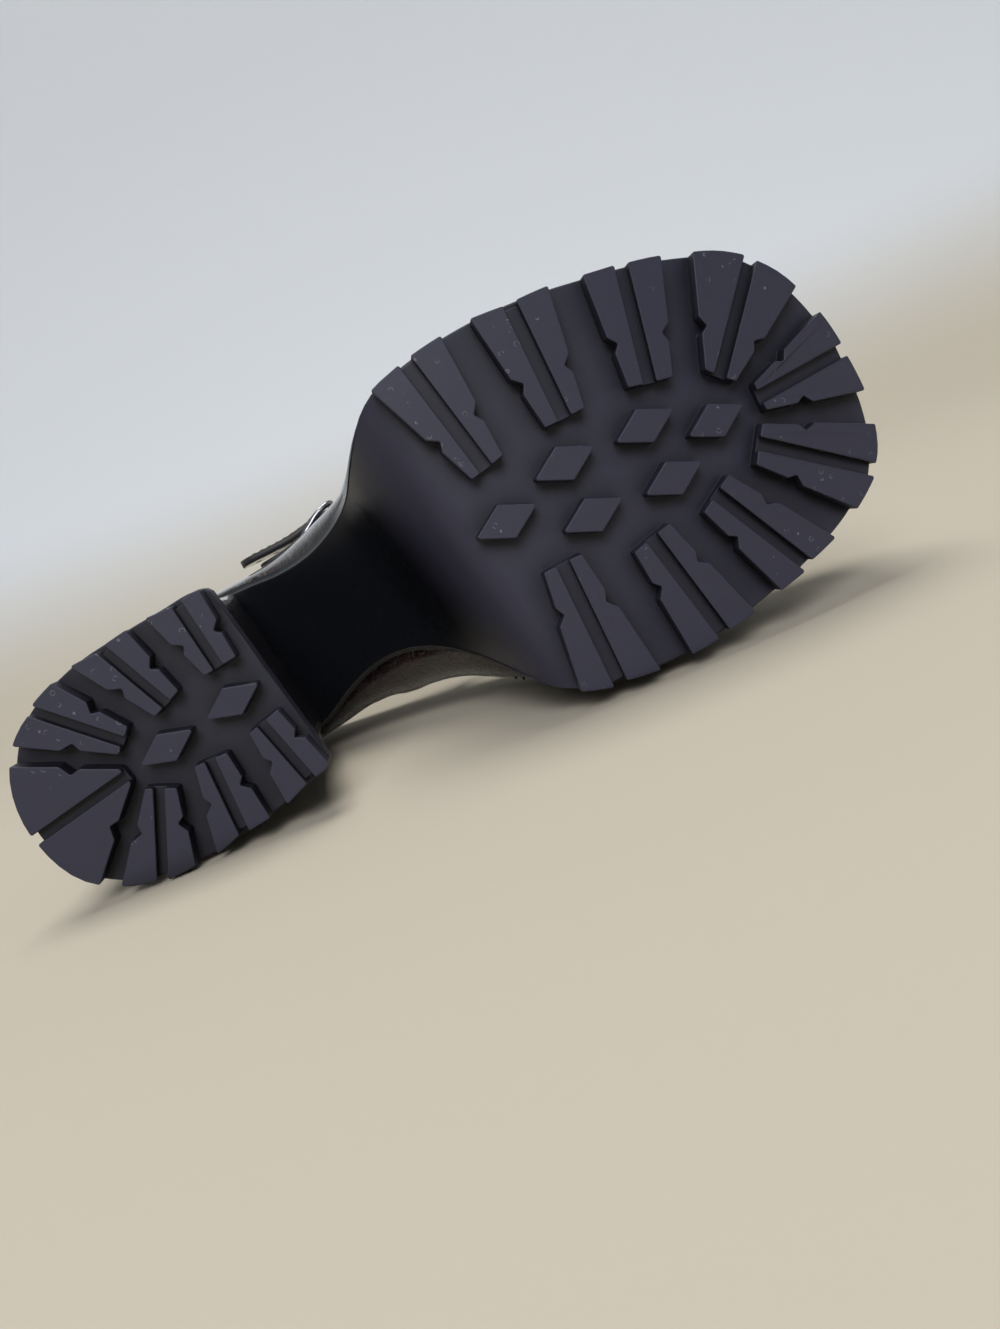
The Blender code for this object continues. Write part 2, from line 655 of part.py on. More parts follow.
def upper_grids(places):
    """Outer and inner points of the upper's wall, by place and level, and which sections are closed."""
    cut = topline(places)
    closed_over = cut > 89.9
    angles = [np.full(len(places), angle) for angle in LOW_ANGLES]
    angles += [cut * k / HIGH_STEPS for k in range(1, HIGH_STEPS + 1)]
    outer = np.stack([last_point(places, angle) for angle in angles], axis=1)
    along = np.roll(outer, -1, 0) - np.roll(outer, 1, 0)
    normal = np.cross(along, np.gradient(outer, axis=1))
    normal /= np.linalg.norm(normal, axis=2)[:, :, None]
    mate = (-np.arange(len(places))) % len(places)
    ridge = normal[:, -1] + normal[mate, -1]
    ridge /= np.linalg.norm(ridge, axis=1)[:, None]
    normal[closed_over, -1] = ridge[closed_over]
    return outer, outer - normal * UPPER_WALL, closed_over


def make_upper(finish, parent):
    places = sample_places(SAMPLE)
    outer, inner, closed_over = upper_grids(places)
    count, levels = outer.shape[:2]
    points = [*outer.reshape(-1, 3), *inner.reshape(-1, 3)]
    faces = []

    def outside(j, k):
        return (j % count) * levels + k

    def inside(j, k):
        return count * levels + outside(j, k)

    for j in range(count):
        for k in range(levels - 1):
            faces.append((outside(j, k), outside(j + 1, k), outside(j + 1, k + 1), outside(j, k + 1)))
            faces.append((inside(j, k), inside(j, k + 1), inside(j + 1, k + 1), inside(j + 1, k)))
        faces.append((outside(j, 0), inside(j, 0), inside(j + 1, 0), outside(j + 1, 0)))
        if not (closed_over[j] and closed_over[(j + 1) % count]):
            top = levels - 1
            faces.append((outside(j, top), outside(j + 1, top), inside(j + 1, top), inside(j, top)))
    return solid("upper", points, faces, finish, parent)


def insole_under(x):
    return last_bottom(x) + GAP + INSOLE_REST


def insole_over(x):
    return last_bottom(x) + GAP + INSOLE_THICK


def make_insole(finish, parent):
    places = sample_places(SAMPLE)
    _, _, feather, _, normal = sole_lines(places)
    _, inner, _ = upper_grids(places)
    bottom = feather - normal * (UPPER_WALL + INSOLE_GAP)
    shoulder = inner[:, 0, :2] - normal * INSOLE_GAP
    shoulder_z = np.maximum(inner[:, 0, 2], insole_under(bottom[:, 0]) + INSOLE_GAP)
    top = np.empty_like(bottom)
    for j, wall in enumerate(inner):
        above = wall[:, 2] - last_bottom(wall[:, 0]) - GAP
        top[j] = [np.interp(INSOLE_THICK, above, wall[:, axis]) for axis in (0, 1)]
    top = shoulder + (top - shoulder) * INSOLE_LEAN
    layers = [
        halves(np.column_stack([bottom, insole_under(bottom[:, 0])])),
        halves(np.column_stack([shoulder, shoulder_z])),
        halves(np.column_stack([top, insole_over(top[:, 0])])),
    ]
    points, faces = slab(layers, 4, low=insole_under, high=insole_over)
    return solid("insole", points, faces, finish, parent)


def strap_frames(rows, thick, spacing):
    """Points, directions, outward and sideways unit vectors along a strap's middle line, and lengths."""
    fine = np.linspace(0, len(rows) - 1, 240)
    values = spline(np.arange(len(rows)), np.array(rows), fine, closed=False)
    station, angle, lift = values.T
    over = angle > 90
    places = station_place(station)
    places = np.where(over, KNOTS[-1] - places, places)
    turned = np.where(over, 180 - angle, angle)
    surface = last_point(places, turned)
    normal = last_normal(places, turned)
    for _ in range(6):
        normal[1:-1] = (normal[:-2] + normal[1:-1] * 2 + normal[2:]) / 4
        surface[1:-1] = (surface[:-2] + surface[1:-1] * 2 + surface[2:]) / 4
    line = surface + normal * (lift + thick / 2)[:, None]
    lengths = np.concatenate([[0], np.cumsum(np.linalg.norm(np.diff(line, axis=0), axis=1))])
    count = max(4, round(lengths[-1] / spacing))
    places = np.linspace(0, lengths[-1], count + 1)
    line = np.column_stack([np.interp(places, lengths, line[:, axis]) for axis in range(3)])
    normal = np.column_stack([np.interp(places, lengths, normal[:, axis]) for axis in range(3)])
    along = np.gradient(line, axis=0)
    along /= np.linalg.norm(along, axis=1)[:, None]
    normal -= along * np.sum(normal * along, axis=1)[:, None]
    normal /= np.linalg.norm(normal, axis=1)[:, None]
    return line, along, normal, np.cross(along, normal), places


def ribbon(frames, width, thick, ends):
    """Points and faces of a flat strap; ends are the lengths over which its two tips round off."""
    line, _, normal, side, places = frames
    total = places[-1] - places[0]
    points, faces = [], []
    for centre, out, across, place in zip(line, normal, side, places - places[0]):
        short = min(1.0, (place + 0.3) / ends[0], (total - place + 0.3) / ends[1])
        half = width / 2 * math.sqrt(1 - (1 - short) ** 2)
        edge = thick / 2 * 0.6
        rim = max(half - 0.6, half * 0.5)
        under = [(-half, -edge), (-rim, -thick / 2), (rim, -thick / 2), (half, -edge)]
        section = under + [(-u, -v) for u, v in under]
        points += [centre + across * u + out * v for u, v in section]
    sides = 8
    for i in range(len(line) - 1):
        for k in range(sides):
            a, b = i * sides + k, i * sides + (k + 1) % sides
            faces.append((a, b, b + sides, a + sides))
    last = (len(line) - 1) * sides
    faces += [tuple(range(sides)), tuple(last + k for k in range(sides))]
    return points, faces


BUCKLE_STATION = 7.75
BUCKLE_ANGLE = 27.0
BUCKLE_GAP = 0.55
BUCKLE_LENGTH = 14.0
BUCKLE_WIDTH = 15.8
BUCKLE_CORNER = 3.0
WIRE = 2.0
PRONG_WIRE = 1.4
SLOT = (0.5, 5.7)
SLOT_WIDTH = 2.8
TAB_THICK = 1.8
TAB_LENGTH = 16.0
TAB_LIFT = 0.35
TAB_GAP = 0.5
# The prong's path from the hinge bar up through the slot to the free bar: distance along the strap from
# the middle of the buckle, and height from the strap's middle.
PRONG_PATH = ((4.9, -2.3), (3.4, 0.0), (1.0, 2.3), (-3.5, 3.6), (-7.0, 4.9), (-9.0, 4.7))


def on_strap(frames, place, across, out):
    """Point at a length along the strap, a distance across it and out from its middle."""
    line, _, normal, side, places = frames
    middle, aside, away = (
        np.array([np.interp(place, places, values[:, axis]) for axis in range(3)])
        for values in (line, side, normal)
    )
    return middle + aside * across + away * out


def buckle_place(frames):
    """Length along the strap at the middle of the buckle."""
    target = last_point(np.array([station_place(BUCKLE_STATION)]), np.array([BUCKLE_ANGLE]))[0]
    return frames[4][np.argmin(np.linalg.norm(frames[0] - target, axis=1))]


def rod(path, radius, closed=False, sides=8):
    """Points and faces of a round wire along a path."""
    path = np.asarray(path, float)
    count = len(path)
    if closed:
        along = np.roll(path, -1, 0) - np.roll(path, 1, 0)
    else:
        along = np.gradient(path, axis=0)
    along /= np.linalg.norm(along, axis=1)[:, None]
    flat = np.linalg.svd(path - path.mean(0))[2][2]
    points, faces = [], []
    for centre, direction in zip(path, along):
        across = np.cross(flat, direction)
        across /= np.linalg.norm(across)
        out = np.cross(direction, across)
        for k in range(sides):
            turn = 2 * math.pi * (k + 0.5) / sides
            points.append(centre + (across * math.cos(turn) + out * math.sin(turn)) * radius)
    for i in range(count if closed else count - 1):
        j = (i + 1) % count
        for k in range(sides):
            following = (k + 1) % sides
            faces.append((i * sides + k, i * sides + following, j * sides + following, j * sides + k))
    if not closed:
        faces += [tuple(range(sides)), tuple((count - 1) * sides + k for k in range(sides))]
    return points, faces


def round_frame(half_length, half_width, corner, steps=4):
    """A rectangle with round corners, in its own plane."""
    ring = []
    for cx, cy, start in ((1, 1, 0), (-1, 1, 90), (-1, -1, 180), (1, -1, 270)):
        for k in range(steps + 1):
            turn = math.radians(start + 90 * k / steps)
            ring.append(
                (
                    cx * (half_length - corner) + corner * math.cos(turn),
                    cy * (half_width - corner) + corner * math.sin(turn),
                )
            )
    return ring


def make_strap(finish, parent):
    frames = strap_frames(STRAP_ROWS, STRAP_THICK, 4.0)
    points, faces = ribbon(frames, STRAP_WIDTH, STRAP_THICK, (3.0, 6.0))
    strap = solid("strap", points, faces, finish, parent)
    middle = buckle_place(frames)
    half = SLOT_WIDTH / 2
    plan = ((SLOT[0], -half), (SLOT[1], -half), (SLOT[1], half), (SLOT[0], half))
    depth = 3 * STRAP_THICK
    corners = [
        on_strap(frames, middle + along, across, out) for out in (-depth, depth) for along, across in plan
    ]
    sides = [(0, 3, 2, 1), (4, 5, 6, 7), (0, 1, 5, 4), (1, 2, 6, 5), (2, 3, 7, 6), (3, 0, 4, 7)]
    slot = helper(solid("strap_slot", corners, sides, parent=parent))
    cut = strap.modifiers.new("slot", "BOOLEAN")
    cut.operation = "DIFFERENCE"
    cut.object = slot
    return frames


def make_buckle(frames, metal, finish, parent):
    """Frame and prong, and the tab on the quarter that holds them."""
    middle = buckle_place(frames)
    over = STRAP_THICK / 2 + WIRE / 2 + BUCKLE_GAP
    half_length = BUCKLE_LENGTH / 2
    ring = [
        on_strap(frames, middle + along, across, -over * along / half_length)
        for along, across in round_frame(half_length, BUCKLE_WIDTH / 2, BUCKLE_CORNER)
    ]
    points, faces = rod(ring, WIRE / 2, closed=True)
    solid("buckle_frame", points, faces, metal, parent)
    path = [on_strap(frames, middle + along, 0.0, out) for along, out in PRONG_PATH]
    points, faces = rod(path, PRONG_WIRE / 2, sides=6)
    solid("buckle_prong", points, faces, metal, parent)
    rows = [(station, angle, TAB_LIFT) for station, angle, _ in STRAP_ROWS[7:]]
    tab = strap_frames(rows, TAB_THICK, 3.0)
    start = on_strap(frames, middle + half_length + WIRE / 2 + GAP, 0.0, -over)
    first = tab[4][np.argmin(np.linalg.norm(tab[0] - start, axis=1))] + TAB_GAP
    places = np.linspace(first, first + TAB_LENGTH, 8)
    resampled = [
        np.column_stack([np.interp(places, tab[4], part[:, axis]) for axis in range(3)]) for part in tab[:4]
    ]
    points, faces = ribbon((*resampled, places), STRAP_WIDTH, TAB_THICK, (0.6, 5.0))
    solid("buckle_tab", points, faces, finish, parent)


def resting_turn(points, centre):
    """Rotation that lays the shoe on the hull face of its medial side that is under its centre of mass."""
    hull = bmesh.new()
    for point in points:
        hull.verts.new(point)
    bmesh.ops.convex_hull(hull, input=hull.verts)
    best = None
    for face in hull.faces:
        normal = face.normal
        if normal.y < 0.8:
            continue
        inside = all(
            normal.dot((b.co - a.co).cross(centre - a.co)) >= 0
            for a, b in zip(face.verts, [*face.verts[1:], face.verts[0]])
        )
        if inside:
            best = normal.copy()
    hull.free()
    return best.rotation_difference(Vector((0, 1, 0))).to_matrix()


def volume_centre(objects):
    """Middle of mass of the pieces, taken as one material."""
    total, moment = 0.0, Vector()
    for made in objects:
        mesh = made.data
        mesh.calc_loop_triangles()
        for triangle in mesh.loop_triangles:
            a, b, c = (mesh.vertices[i].co for i in triangle.vertices)
            share = a.dot(b.cross(c)) / 6
            total += share
            moment += (a + b + c) * share / 4
    return moment / total


def lay_down(stance):
    """Turns and lowers the stance so that the shoe lies on its medial side, with the floor at Z = 0."""
    pieces = [child for child in stance.children if child.type == "MESH"]
    shown = [child for child in pieces if not child.hide_render]
    points = [vertex.co.copy() for made in pieces for vertex in made.data.vertices]
    turn = resting_turn(points, volume_centre(shown))
    side_down = Matrix.Rotation(math.radians(-90), 3, "X")
    turn = side_down @ turn
    placed = [turn @ point for point in points]
    low = [min(point[axis] for point in placed) for axis in range(3)]
    high = [max(point[axis] for point in placed) for axis in range(3)]
    shift = Vector((-(low[0] + high[0]) / 2, -(low[1] + high[1]) / 2, -low[2]))
    stance.matrix_world = Matrix.Translation(shift) @ turn.to_4x4()


def make_all():
    for made in list(bpy.data.objects):
        bpy.data.objects.remove(made, do_unlink=True)
    rubber = material("black_rubber", (0.012, 0.012, 0.014), 0.55)
    lift_rubber = material("black_lift_rubber", (0.014, 0.014, 0.016), 0.55)
    patent = material("burgundy_black_patent", (0.020, 0.006, 0.009), 0.12)
    heel_patent = material("heel_patent", (0.018, 0.006, 0.008), 0.12)
    strap_patent = material("strap_patent", (0.018, 0.006, 0.008), 0.15)
    lining = material("lining_leather", (0.045, 0.035, 0.032), 0.6)
    metal = material("dark_metal", (0.35, 0.35, 0.36), 0.25, 1.0)
    stance = bpy.data.objects.new("stance", None)
    bpy.context.collection.objects.link(stance)
    make_outsole(rubber, stance)
    make_heel_lift(lift_rubber, stance)
    make_heel_block(heel_patent, stance)
    make_upper(patent, stance)
    make_insole(lining, stance)
    frames = make_strap(strap_patent, stance)
    make_buckle(frames, metal, strap_patent, stance)
    lay_down(stance)


make_all()
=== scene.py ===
"""Looks of the platform mary jane, a right shoe that lies on its medial side.

The shoe is drawn standing, in millimetres: X runs from the back of the heel to the toe, Y to the medial
side and Z up from the tread. laid() gives each point its place on the floor, in metres.
"""

from math import acos, cos, pi, radians, sin, sqrt, tan

import bmesh
import bpy
import numpy as np
from mathutils import Matrix, Vector


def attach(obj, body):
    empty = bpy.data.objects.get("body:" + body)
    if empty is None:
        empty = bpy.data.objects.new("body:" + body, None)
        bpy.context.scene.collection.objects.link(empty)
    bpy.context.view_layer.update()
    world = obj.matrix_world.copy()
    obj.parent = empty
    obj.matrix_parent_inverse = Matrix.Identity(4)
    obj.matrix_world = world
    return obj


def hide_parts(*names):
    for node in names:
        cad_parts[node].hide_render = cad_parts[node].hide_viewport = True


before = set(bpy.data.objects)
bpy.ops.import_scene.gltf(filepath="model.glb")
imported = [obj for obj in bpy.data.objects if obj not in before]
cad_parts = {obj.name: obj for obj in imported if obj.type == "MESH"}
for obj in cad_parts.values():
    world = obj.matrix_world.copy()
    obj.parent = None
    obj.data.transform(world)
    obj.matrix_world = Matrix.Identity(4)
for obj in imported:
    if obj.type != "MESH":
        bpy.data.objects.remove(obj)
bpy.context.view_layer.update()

MM = 0.001
GAP = 0.3

# How the shoe lies: the turn of its axes on the floor and where its own origin comes to be.
LIE_AXES = np.array([
    (0.98738974, 0.15830772, -0.00003122),
    (-0.00003120, 0.00039180, 0.99999994),
    (0.15830770, -0.98738974, 0.00039180),
])
LIE_SHIFT = (-123.39994, -74.56394, 26.85720)

TREAD_LENGTH = 245.0
LUG_HEIGHT = 5.0
LUG_RECESS = 0.5
GROOVE_DEPTH = 2.4
SPRING_START = 130.0
TOE_SPRING = 20.0
SPRING_POWER = 2.2
LIFT_TOP = 10.7
SOLE_EDGE = 4.0
SEAT_GAP = 0.5
EDGE_ROUND = 1.0
SOLE_ROUND = 0.5
UPPER_WALL = 1.8
INSOLE_THICK = 3.0
SECTION_POWER = 0.86
STRAP_WIDTH = 12.0
STRAP_THICK = 2.6
THROAT_ANGLE = 35.0
HEEL_MIDDLE = 1.5
HEEL_HALF_WIDTH = 27.0

# Height of the last's bottom above the tread, from the heel seat over the waist to the toe.
LAST_BOTTOM = (
    # x, height
    (0, 92), (35, 92), (50, 91.3), (64, 88.6), (80, 81), (95, 71.2), (110, 60.4), (125, 50.4),
    (140, 42.6), (155, 37.9), (170, 36), (185, 36.3), (200, 38.2), (220, 42.9), (235, 47.5), (250, 52.6),
)

# Underside of the sole, one row a station from the back of the heel to the toe. Distances w are from the
# long axis. blend goes from 0, the thin waist, to 1, the full depth of the platform. flare is how far the
# top edge stands out past the lower one, and ledge how far the upper is set in from that top edge.
SOLE_COLUMNS = ("x_lat", "w_lat", "x_med", "w_med", "blend", "flare", "ledge")
SOLE_ROWS = (
    (8, -4.6, 8, 4.6, 0, 1.5, 0.8),
    (11, 8, 12, 17, 0, 1.5, 0.8),
    (20, 19, 21, 25.2, 0, 1.5, 0.8),
    (34, 25.3, 35, 28.8, 0, 1.5, 0.8),
    (50, 26.3, 51, 28, 0, 1.5, 0.8),
    (64, 25.2, 65, 24.6, 0, 1.5, 0.8),
    (76, 23.6, 77, 19.4, 0, 1.5, 0.8),
    (87, 23.8, 88.5, 16.2, 0, 1.5, 0.8),
    (96, 26, 100, 16.6, 0, 1.5, 0.8),
    (103, 29, 109.5, 20.6, 0.03, 1.6, 0.9),
    (108, 32.1, 117, 26, 0.2, 1.8, 1.2),
    (112.3, 36.1, 122.5, 31.4, 0.5, 2.2, 1.7),
    (117.3, 40.8, 127, 36.2, 0.78, 2.8, 2.4),
    (121.9, 44.6, 130.6, 39.8, 0.93, 3.3, 3.3),
    (127, 47.4, 134.8, 42.4, 0.99, 3.6, 4.1),
    (133.7, 48.9, 140.7, 45.1, 1, 3.6, 4.9),
    (148.5, 50.5, 155.5, 48.5, 1, 3.6, 5.5),
    (167, 49.9, 172, 49.7, 1, 3.6, 5.5),
    (187.3, 46.5, 191.3, 48.3, 1, 3.6, 5.5),
    (208.5, 41.5, 211.4, 45.2, 1, 3.5, 5.5),
    (225.3, 34.3, 227.7, 40, 1, 3.3, 5.3),
    (237, 23.4, 239.1, 32.1, 1, 3.1, 5.2),
    (243.2, 9, 244.1, 19.9, 1, 3, 5.2),
    (TREAD_LENGTH + 0.2, -6, TREAD_LENGTH + 0.2, 6, 1, 3, 5.2),
)

# Sections of the last over the same stations. swell is how far the widest point stands out past the lower
# edge of the upper and belly its height above it, on the lateral and the medial side. The ridge is the top
# of each section, and cut is the angle round the section at which the topline runs: 90 is closed.
LAST_COLUMNS = ("swell_lat", "swell_med", "belly_lat", "belly_med", "ridge_x", "ridge_y", "ridge_z", "cut")
LAST_ROWS = (
    (3.5, 3.5, 21, 21, 24, 3, 172, 34.3),
    (3.5, 3.5, 21, 21, 26, 3, 172, 34),
    (3.3, 3.5, 21, 21, 30, 2.5, 172, 33),
    (2.8, 3.2, 20, 20, 38, 2, 171, 31.6),
    (2.4, 4, 19, 19, 50, 1, 168, 29.7),
    (3.1, 6.5, 18, 19, 63, 0, 163, 29.7),
    (4.8, 11, 17, 19, 75, -1, 157, 33.2),
    (6, 15.2, 16, 19, 85, -1.5, 151, 38),
    (5.8, 15.8, 16, 19, 94.5, -1.5, 145, 43),
    (4.5, 13.6, 16, 18.5, 103, -1.5, 139, 46),
    (3.3, 10.6, 16, 18, 109, -1, 134.5, 45),
    (2.8, 8.2, 16, 17, 114.5, -1, 130, 43.5),
    (2.7, 6.2, 16, 16, 120, -1, 125.5, 42.5),
    (2.6, 4.8, 16, 15, 125.5, -0.5, 121, 42),
    (2.4, 3.8, 14, 14, 131, -0.5, 116.5, 42),
    (2.2, 3, 13, 13, 137.5, -0.5, 111.5, 45),
    (1.8, 2, 11.5, 11.5, 152, 0, 100.5, 55),
    (1.6, 1.6, 11, 11, 169.5, 0, 90, 90),
    (1.4, 1.4, 10, 10, 188, 1.5, 82.5, 90),
    (1.2, 1.2, 9.5, 9.5, 205, 3, 78.5, 90),
    (1, 1, 9, 9, 215, 4.5, 76.8, 90),
    (1, 1, 8.5, 8.5, 220.5, 5.3, 76, 90),
    (1, 1, 8, 8, 223, 5.8, 75.7, 90),
    (1, 1, 8, 8, 224, 6, 75.6, 90),
)

# Lug pairs round the edge of the forefoot: the middle of the pair's groove where it starts at the outline
# and where it ends inside, the spread of each lug's outer end from that groove, and their inner widths.
PAIR_COLUMNS = ("x_out", "w_out", "x_in", "w_in", "outer_a", "outer_b", "inner_a", "inner_b")
FOREFOOT_PAIRS = (
    (137.9, 49.7, 142.2, 17.7, 9.1, 8.9, 3.1, 4.1),
    (167.2, 49.2, 165.5, 18.7, 8.7, 8.9, 4.2, 4.4),
    (197.2, 44.5, 189.3, 15.7, 8.8, 9.3, 4.6, 5.1),
    (231, 30.5, 207.2, 8.2, 15, 13.3, 3.1, 3.2),
    (244.8, -2.7, 214.6, -1.6, 10.5, 10.6, 2.5, 2.6),
    (236.2, -35, 208.2, -11.9, 11, 10.5, 4, 4.3),
    (204.7, -46.4, 191, -17, 9.2, 8.6, 4.8, 4.6),
    (175.1, -49.5, 170.4, -18, 8.4, 8.4, 4.6, 4.7),
    (145, -46.2, 147.2, -11.9, 9.2, 8.9, 4.1, 4.1),
)
HEEL_PAIRS = (
    (65.3, -26.8, 62.4, -8, 5.6, 7.2, 4.5, 3.2),
    (44.1, -29.7, 46.8, -9.4, 6.1, 7.5, 3.8, 3.4),
    (20.7, -29.5, 32.5, -9, 7.7, 8.9, 3.6, 2.5),
    (0.1, -4.7, 27.5, -2.4, 18.4, 18.6, 1.4, 1.6),
    (16.9, 23, 31.5, 5.2, 8.6, 7.5, 2.6, 3.2),
    (39.3, 27.2, 45.4, 7.7, 7.2, 6.4, 3.4, 3.7),
    (60.5, 27.5, 60.9, 9, 7.1, 5.3, 3.2, 4.3),
)
FOREFOOT_DIAMONDS = ((140.2, 4.1), (160, 9.2), (160, -5.5), (182.8, 7.1), (183, -8), (200.5, -1))
HEEL_DIAMONDS = ((59.3, 0.2), (39.6, -1.4))
FOREFOOT_NOTCH = (0.55, 0.63, 0.70)
HEEL_NOTCH = (0.45, 0.56, 0.64)
NOTCH_DEPTH = 2.1
FOREFOOT_DIAMOND = (8.9, 4.75)
HEEL_DIAMOND = (8.1, 4.1)
HEEL_TURN = 4.7
FOREFOOT_GROOVE = 3.6
HEEL_GROOVE = 2.6

# Outline of the heel lift's plate with its turned axis: back, side points and the two breast corners.
LIFT_COLUMNS = ("x_lat", "w_lat", "x_med", "w_med")
LIFT_ROWS = (
    (-0.3, -4.8, -0.3, 4.8),
    (3, 10.3, 4.1, 19.2),
    (12.3, 21, 13.3, 26.7),
    (27.8, 26.7, 29.8, 30.7),
    (45, 28, 49, 30),
    (56, 28.1, 59, 28.7),
    (64.3, 28.1, 67.4, 27.2),
    (67.1, 27.5, 70.4, 26.3),
    (68.2, 26, 71.4, 24.6),
)
# The block heel: height, how far its back and breast move forward, and how far its sides stand out.
BLOCK_COLUMNS = ("z", "back", "breast", "spread")
BLOCK_ROWS = (
    (LIFT_TOP + GAP, 1.3, -0.5, -1.7),
    (24, 2.9, -2.5, -2.4),
    (42, 4.5, -4.6, -2.6),
    (62, 6.1, -6.6, -2.2),
    (78, 6.9, -8.4, -1.6),
    (89, 7.3, -10, -1.3),
)

# The strap's middle line on the last: station, angle round the section from the lateral side over the
# ridge (90) to the medial side (180), and its distance from the last's surface.
STRAP_ROWS = (
    # station, angle, lift
    (9.4, 153, 0.8),
    (9.7, 143, 0.8),
    (10.1, 130, 0.9),
    (10.7, 112, 1.2),
    (11.1, 95, 1.6),
    (11.1, 80, 1.4),
    (10.7, 64, 1),
    (10, 50, 1.2),
    (9.2, 39, 2.4),
    (8.4, 31, 3.2),
    (7.5, 24, 2.9),
    (6.6, 18, 2.8),
    (5.7, 12.5, 3.5),
    (4.8, 8.5, 3.9),
)


def table(columns, rows):
    """The rows' columns by name."""
    return dict(zip(columns, np.array(rows, float).T))


def unit(vectors):
    """The vectors at a length of one."""
    return vectors / np.maximum(np.linalg.norm(vectors, axis=-1, keepdims=True), 1e-9)


def aside(along):
    """Unit vectors to the right of directions in plan."""
    return unit(np.column_stack([along[:, 1], -along[:, 0]]))


def lengths_along(line):
    """Length along a line up to each of its points."""
    return np.concatenate([[0], np.cumsum(np.linalg.norm(np.diff(line, axis=0), axis=1))])


def between(at, places, values):
    """Rows of values that are given at places, at other places."""
    return np.stack([np.interp(at, places, column) for column in values.T], axis=-1)


def around(count):
    """Regular angles round a full turn."""
    return 2 * pi * np.arange(count) / count


def direction(line, closed):
    """Unit vectors along a line."""
    return unit(np.roll(line, -1, 0) - np.roll(line, 1, 0) if closed else np.gradient(line, axis=0))


def spline(knots, points, at, closed=True):
    """Smooth curve through points, whose places along the curve are knots; a closed one has one knot more."""
    points = np.asarray(points, float)
    knots = np.asarray(knots, float)
    if closed:
        at = np.mod(at, knots[-1])
        points = np.vstack([points[-1:], points, points[:2]])
        knots = np.concatenate([[knots[-2] - knots[-1]], knots, [knots[-1] + knots[1]]])
    else:
        points = np.vstack([2 * points[0] - points[1], points, 2 * points[-1] - points[-2]])
        knots = np.concatenate([[2 * knots[0] - knots[1]], knots, [2 * knots[-1] - knots[-2]]])
    gaps = np.diff(knots)[:, None]
    slopes = np.diff(points, axis=0) / gaps
    tangents = (slopes[:-1] * gaps[1:] + slopes[1:] * gaps[:-1]) / (gaps[:-1] + gaps[1:])
    span = np.clip(np.searchsorted(knots, at, side="right") - 1, 1, len(points) - 3)
    width = gaps[span]
    t = (at - knots[span])[:, None] / width
    return (
        points[span] * (2 * t**3 - 3 * t**2 + 1)
        + points[span + 1] * (3 * t**2 - 2 * t**3)
        + tangents[span - 1] * width * (t**3 - 2 * t**2 + t)
        + tangents[span] * width * (t**3 - t**2)
    )


def both_sides(data, lateral, medial):
    """Rows of the lateral side from heel to toe, then of the medial side back again."""
    near = np.column_stack([data[name] for name in lateral])
    far = np.column_stack([data[name] for name in medial])
    return np.concatenate([near, far[-2:0:-1]])


SOLE = table(SOLE_COLUMNS, SOLE_ROWS)
LAST = table(LAST_COLUMNS, LAST_ROWS)
SOLE["y_lat"] = -SOLE["w_lat"]
SOLE["y_med"] = SOLE["w_med"]
ROWS = len(SOLE_ROWS)


def station_knots():
    """Places of the rows along the closed outline, the same for both sides."""
    lateral = np.hypot(np.diff(SOLE["x_lat"]), np.diff(SOLE["y_lat"]))
    medial = np.hypot(np.diff(SOLE["x_med"]), np.diff(SOLE["y_med"]))
    steps = (lateral + medial) / 2
    return np.concatenate([[0.0], np.cumsum(np.concatenate([steps, steps[::-1]]))])


KNOTS = station_knots()
EDGE = ("blend", "flare", "ledge")
RIDGE = ("ridge_x", "ridge_y", "ridge_z", "cut")
OUTLINE = both_sides(SOLE, ("x_lat", "y_lat", *EDGE), ("x_med", "y_med", *EDGE))
FORM = both_sides(LAST, ("swell_lat", "belly_lat", *RIDGE), ("swell_med", "belly_med", *RIDGE))


def sample_places(spacing):
    """Places along the closed outline, paired across the shoe, with whole steps between the rows."""
    places = [0.0]
    for start, end in zip(KNOTS[: ROWS - 1], KNOTS[1:ROWS]):
        steps = max(1, round((end - start) / spacing))
        places += [start + (end - start) * (k + 1) / steps for k in range(steps)]
    places = np.array(places)
    return np.concatenate([places, (KNOTS[-1] - places)[-2:0:-1]])


def station_place(station):
    """Place along the lateral side of a station, whole or between two rows."""
    return np.interp(station, np.arange(ROWS), KNOTS[:ROWS])


def last_bottom(x):
    """Height of the last's bottom at x."""
    heights = np.array(LAST_BOTTOM)
    return spline(heights[:, 0], heights[:, 1:], np.atleast_1d(np.asarray(x, float)), closed=False)[:, 0]


def toe_spring(x):
    """Height of the tread at x, which leaves the ground towards the toe."""
    ahead = np.clip((np.asarray(x, float) - SPRING_START) / (TREAD_LENGTH - SPRING_START), 0, None)
    return TOE_SPRING * ahead**SPRING_POWER


def sole_lines(places):
    """The sole's lower edge, its top edge and the upper's lower edge in plan, and the blend, at places."""
    values = spline(KNOTS, OUTLINE, places)
    lower, blend, flare, ledge = values[:, :2], values[:, 2], values[:, 3], values[:, 4]
    step = 0.5
    ahead = spline(KNOTS, OUTLINE, places + step)[:, :2]
    behind = spline(KNOTS, OUTLINE, places - step)[:, :2]
    normal = aside(ahead - behind)
    top = lower + normal * flare[:, None]
    feather = top - normal * ledge[:, None]
    return lower, top, feather, np.clip(blend, 0, 1), normal


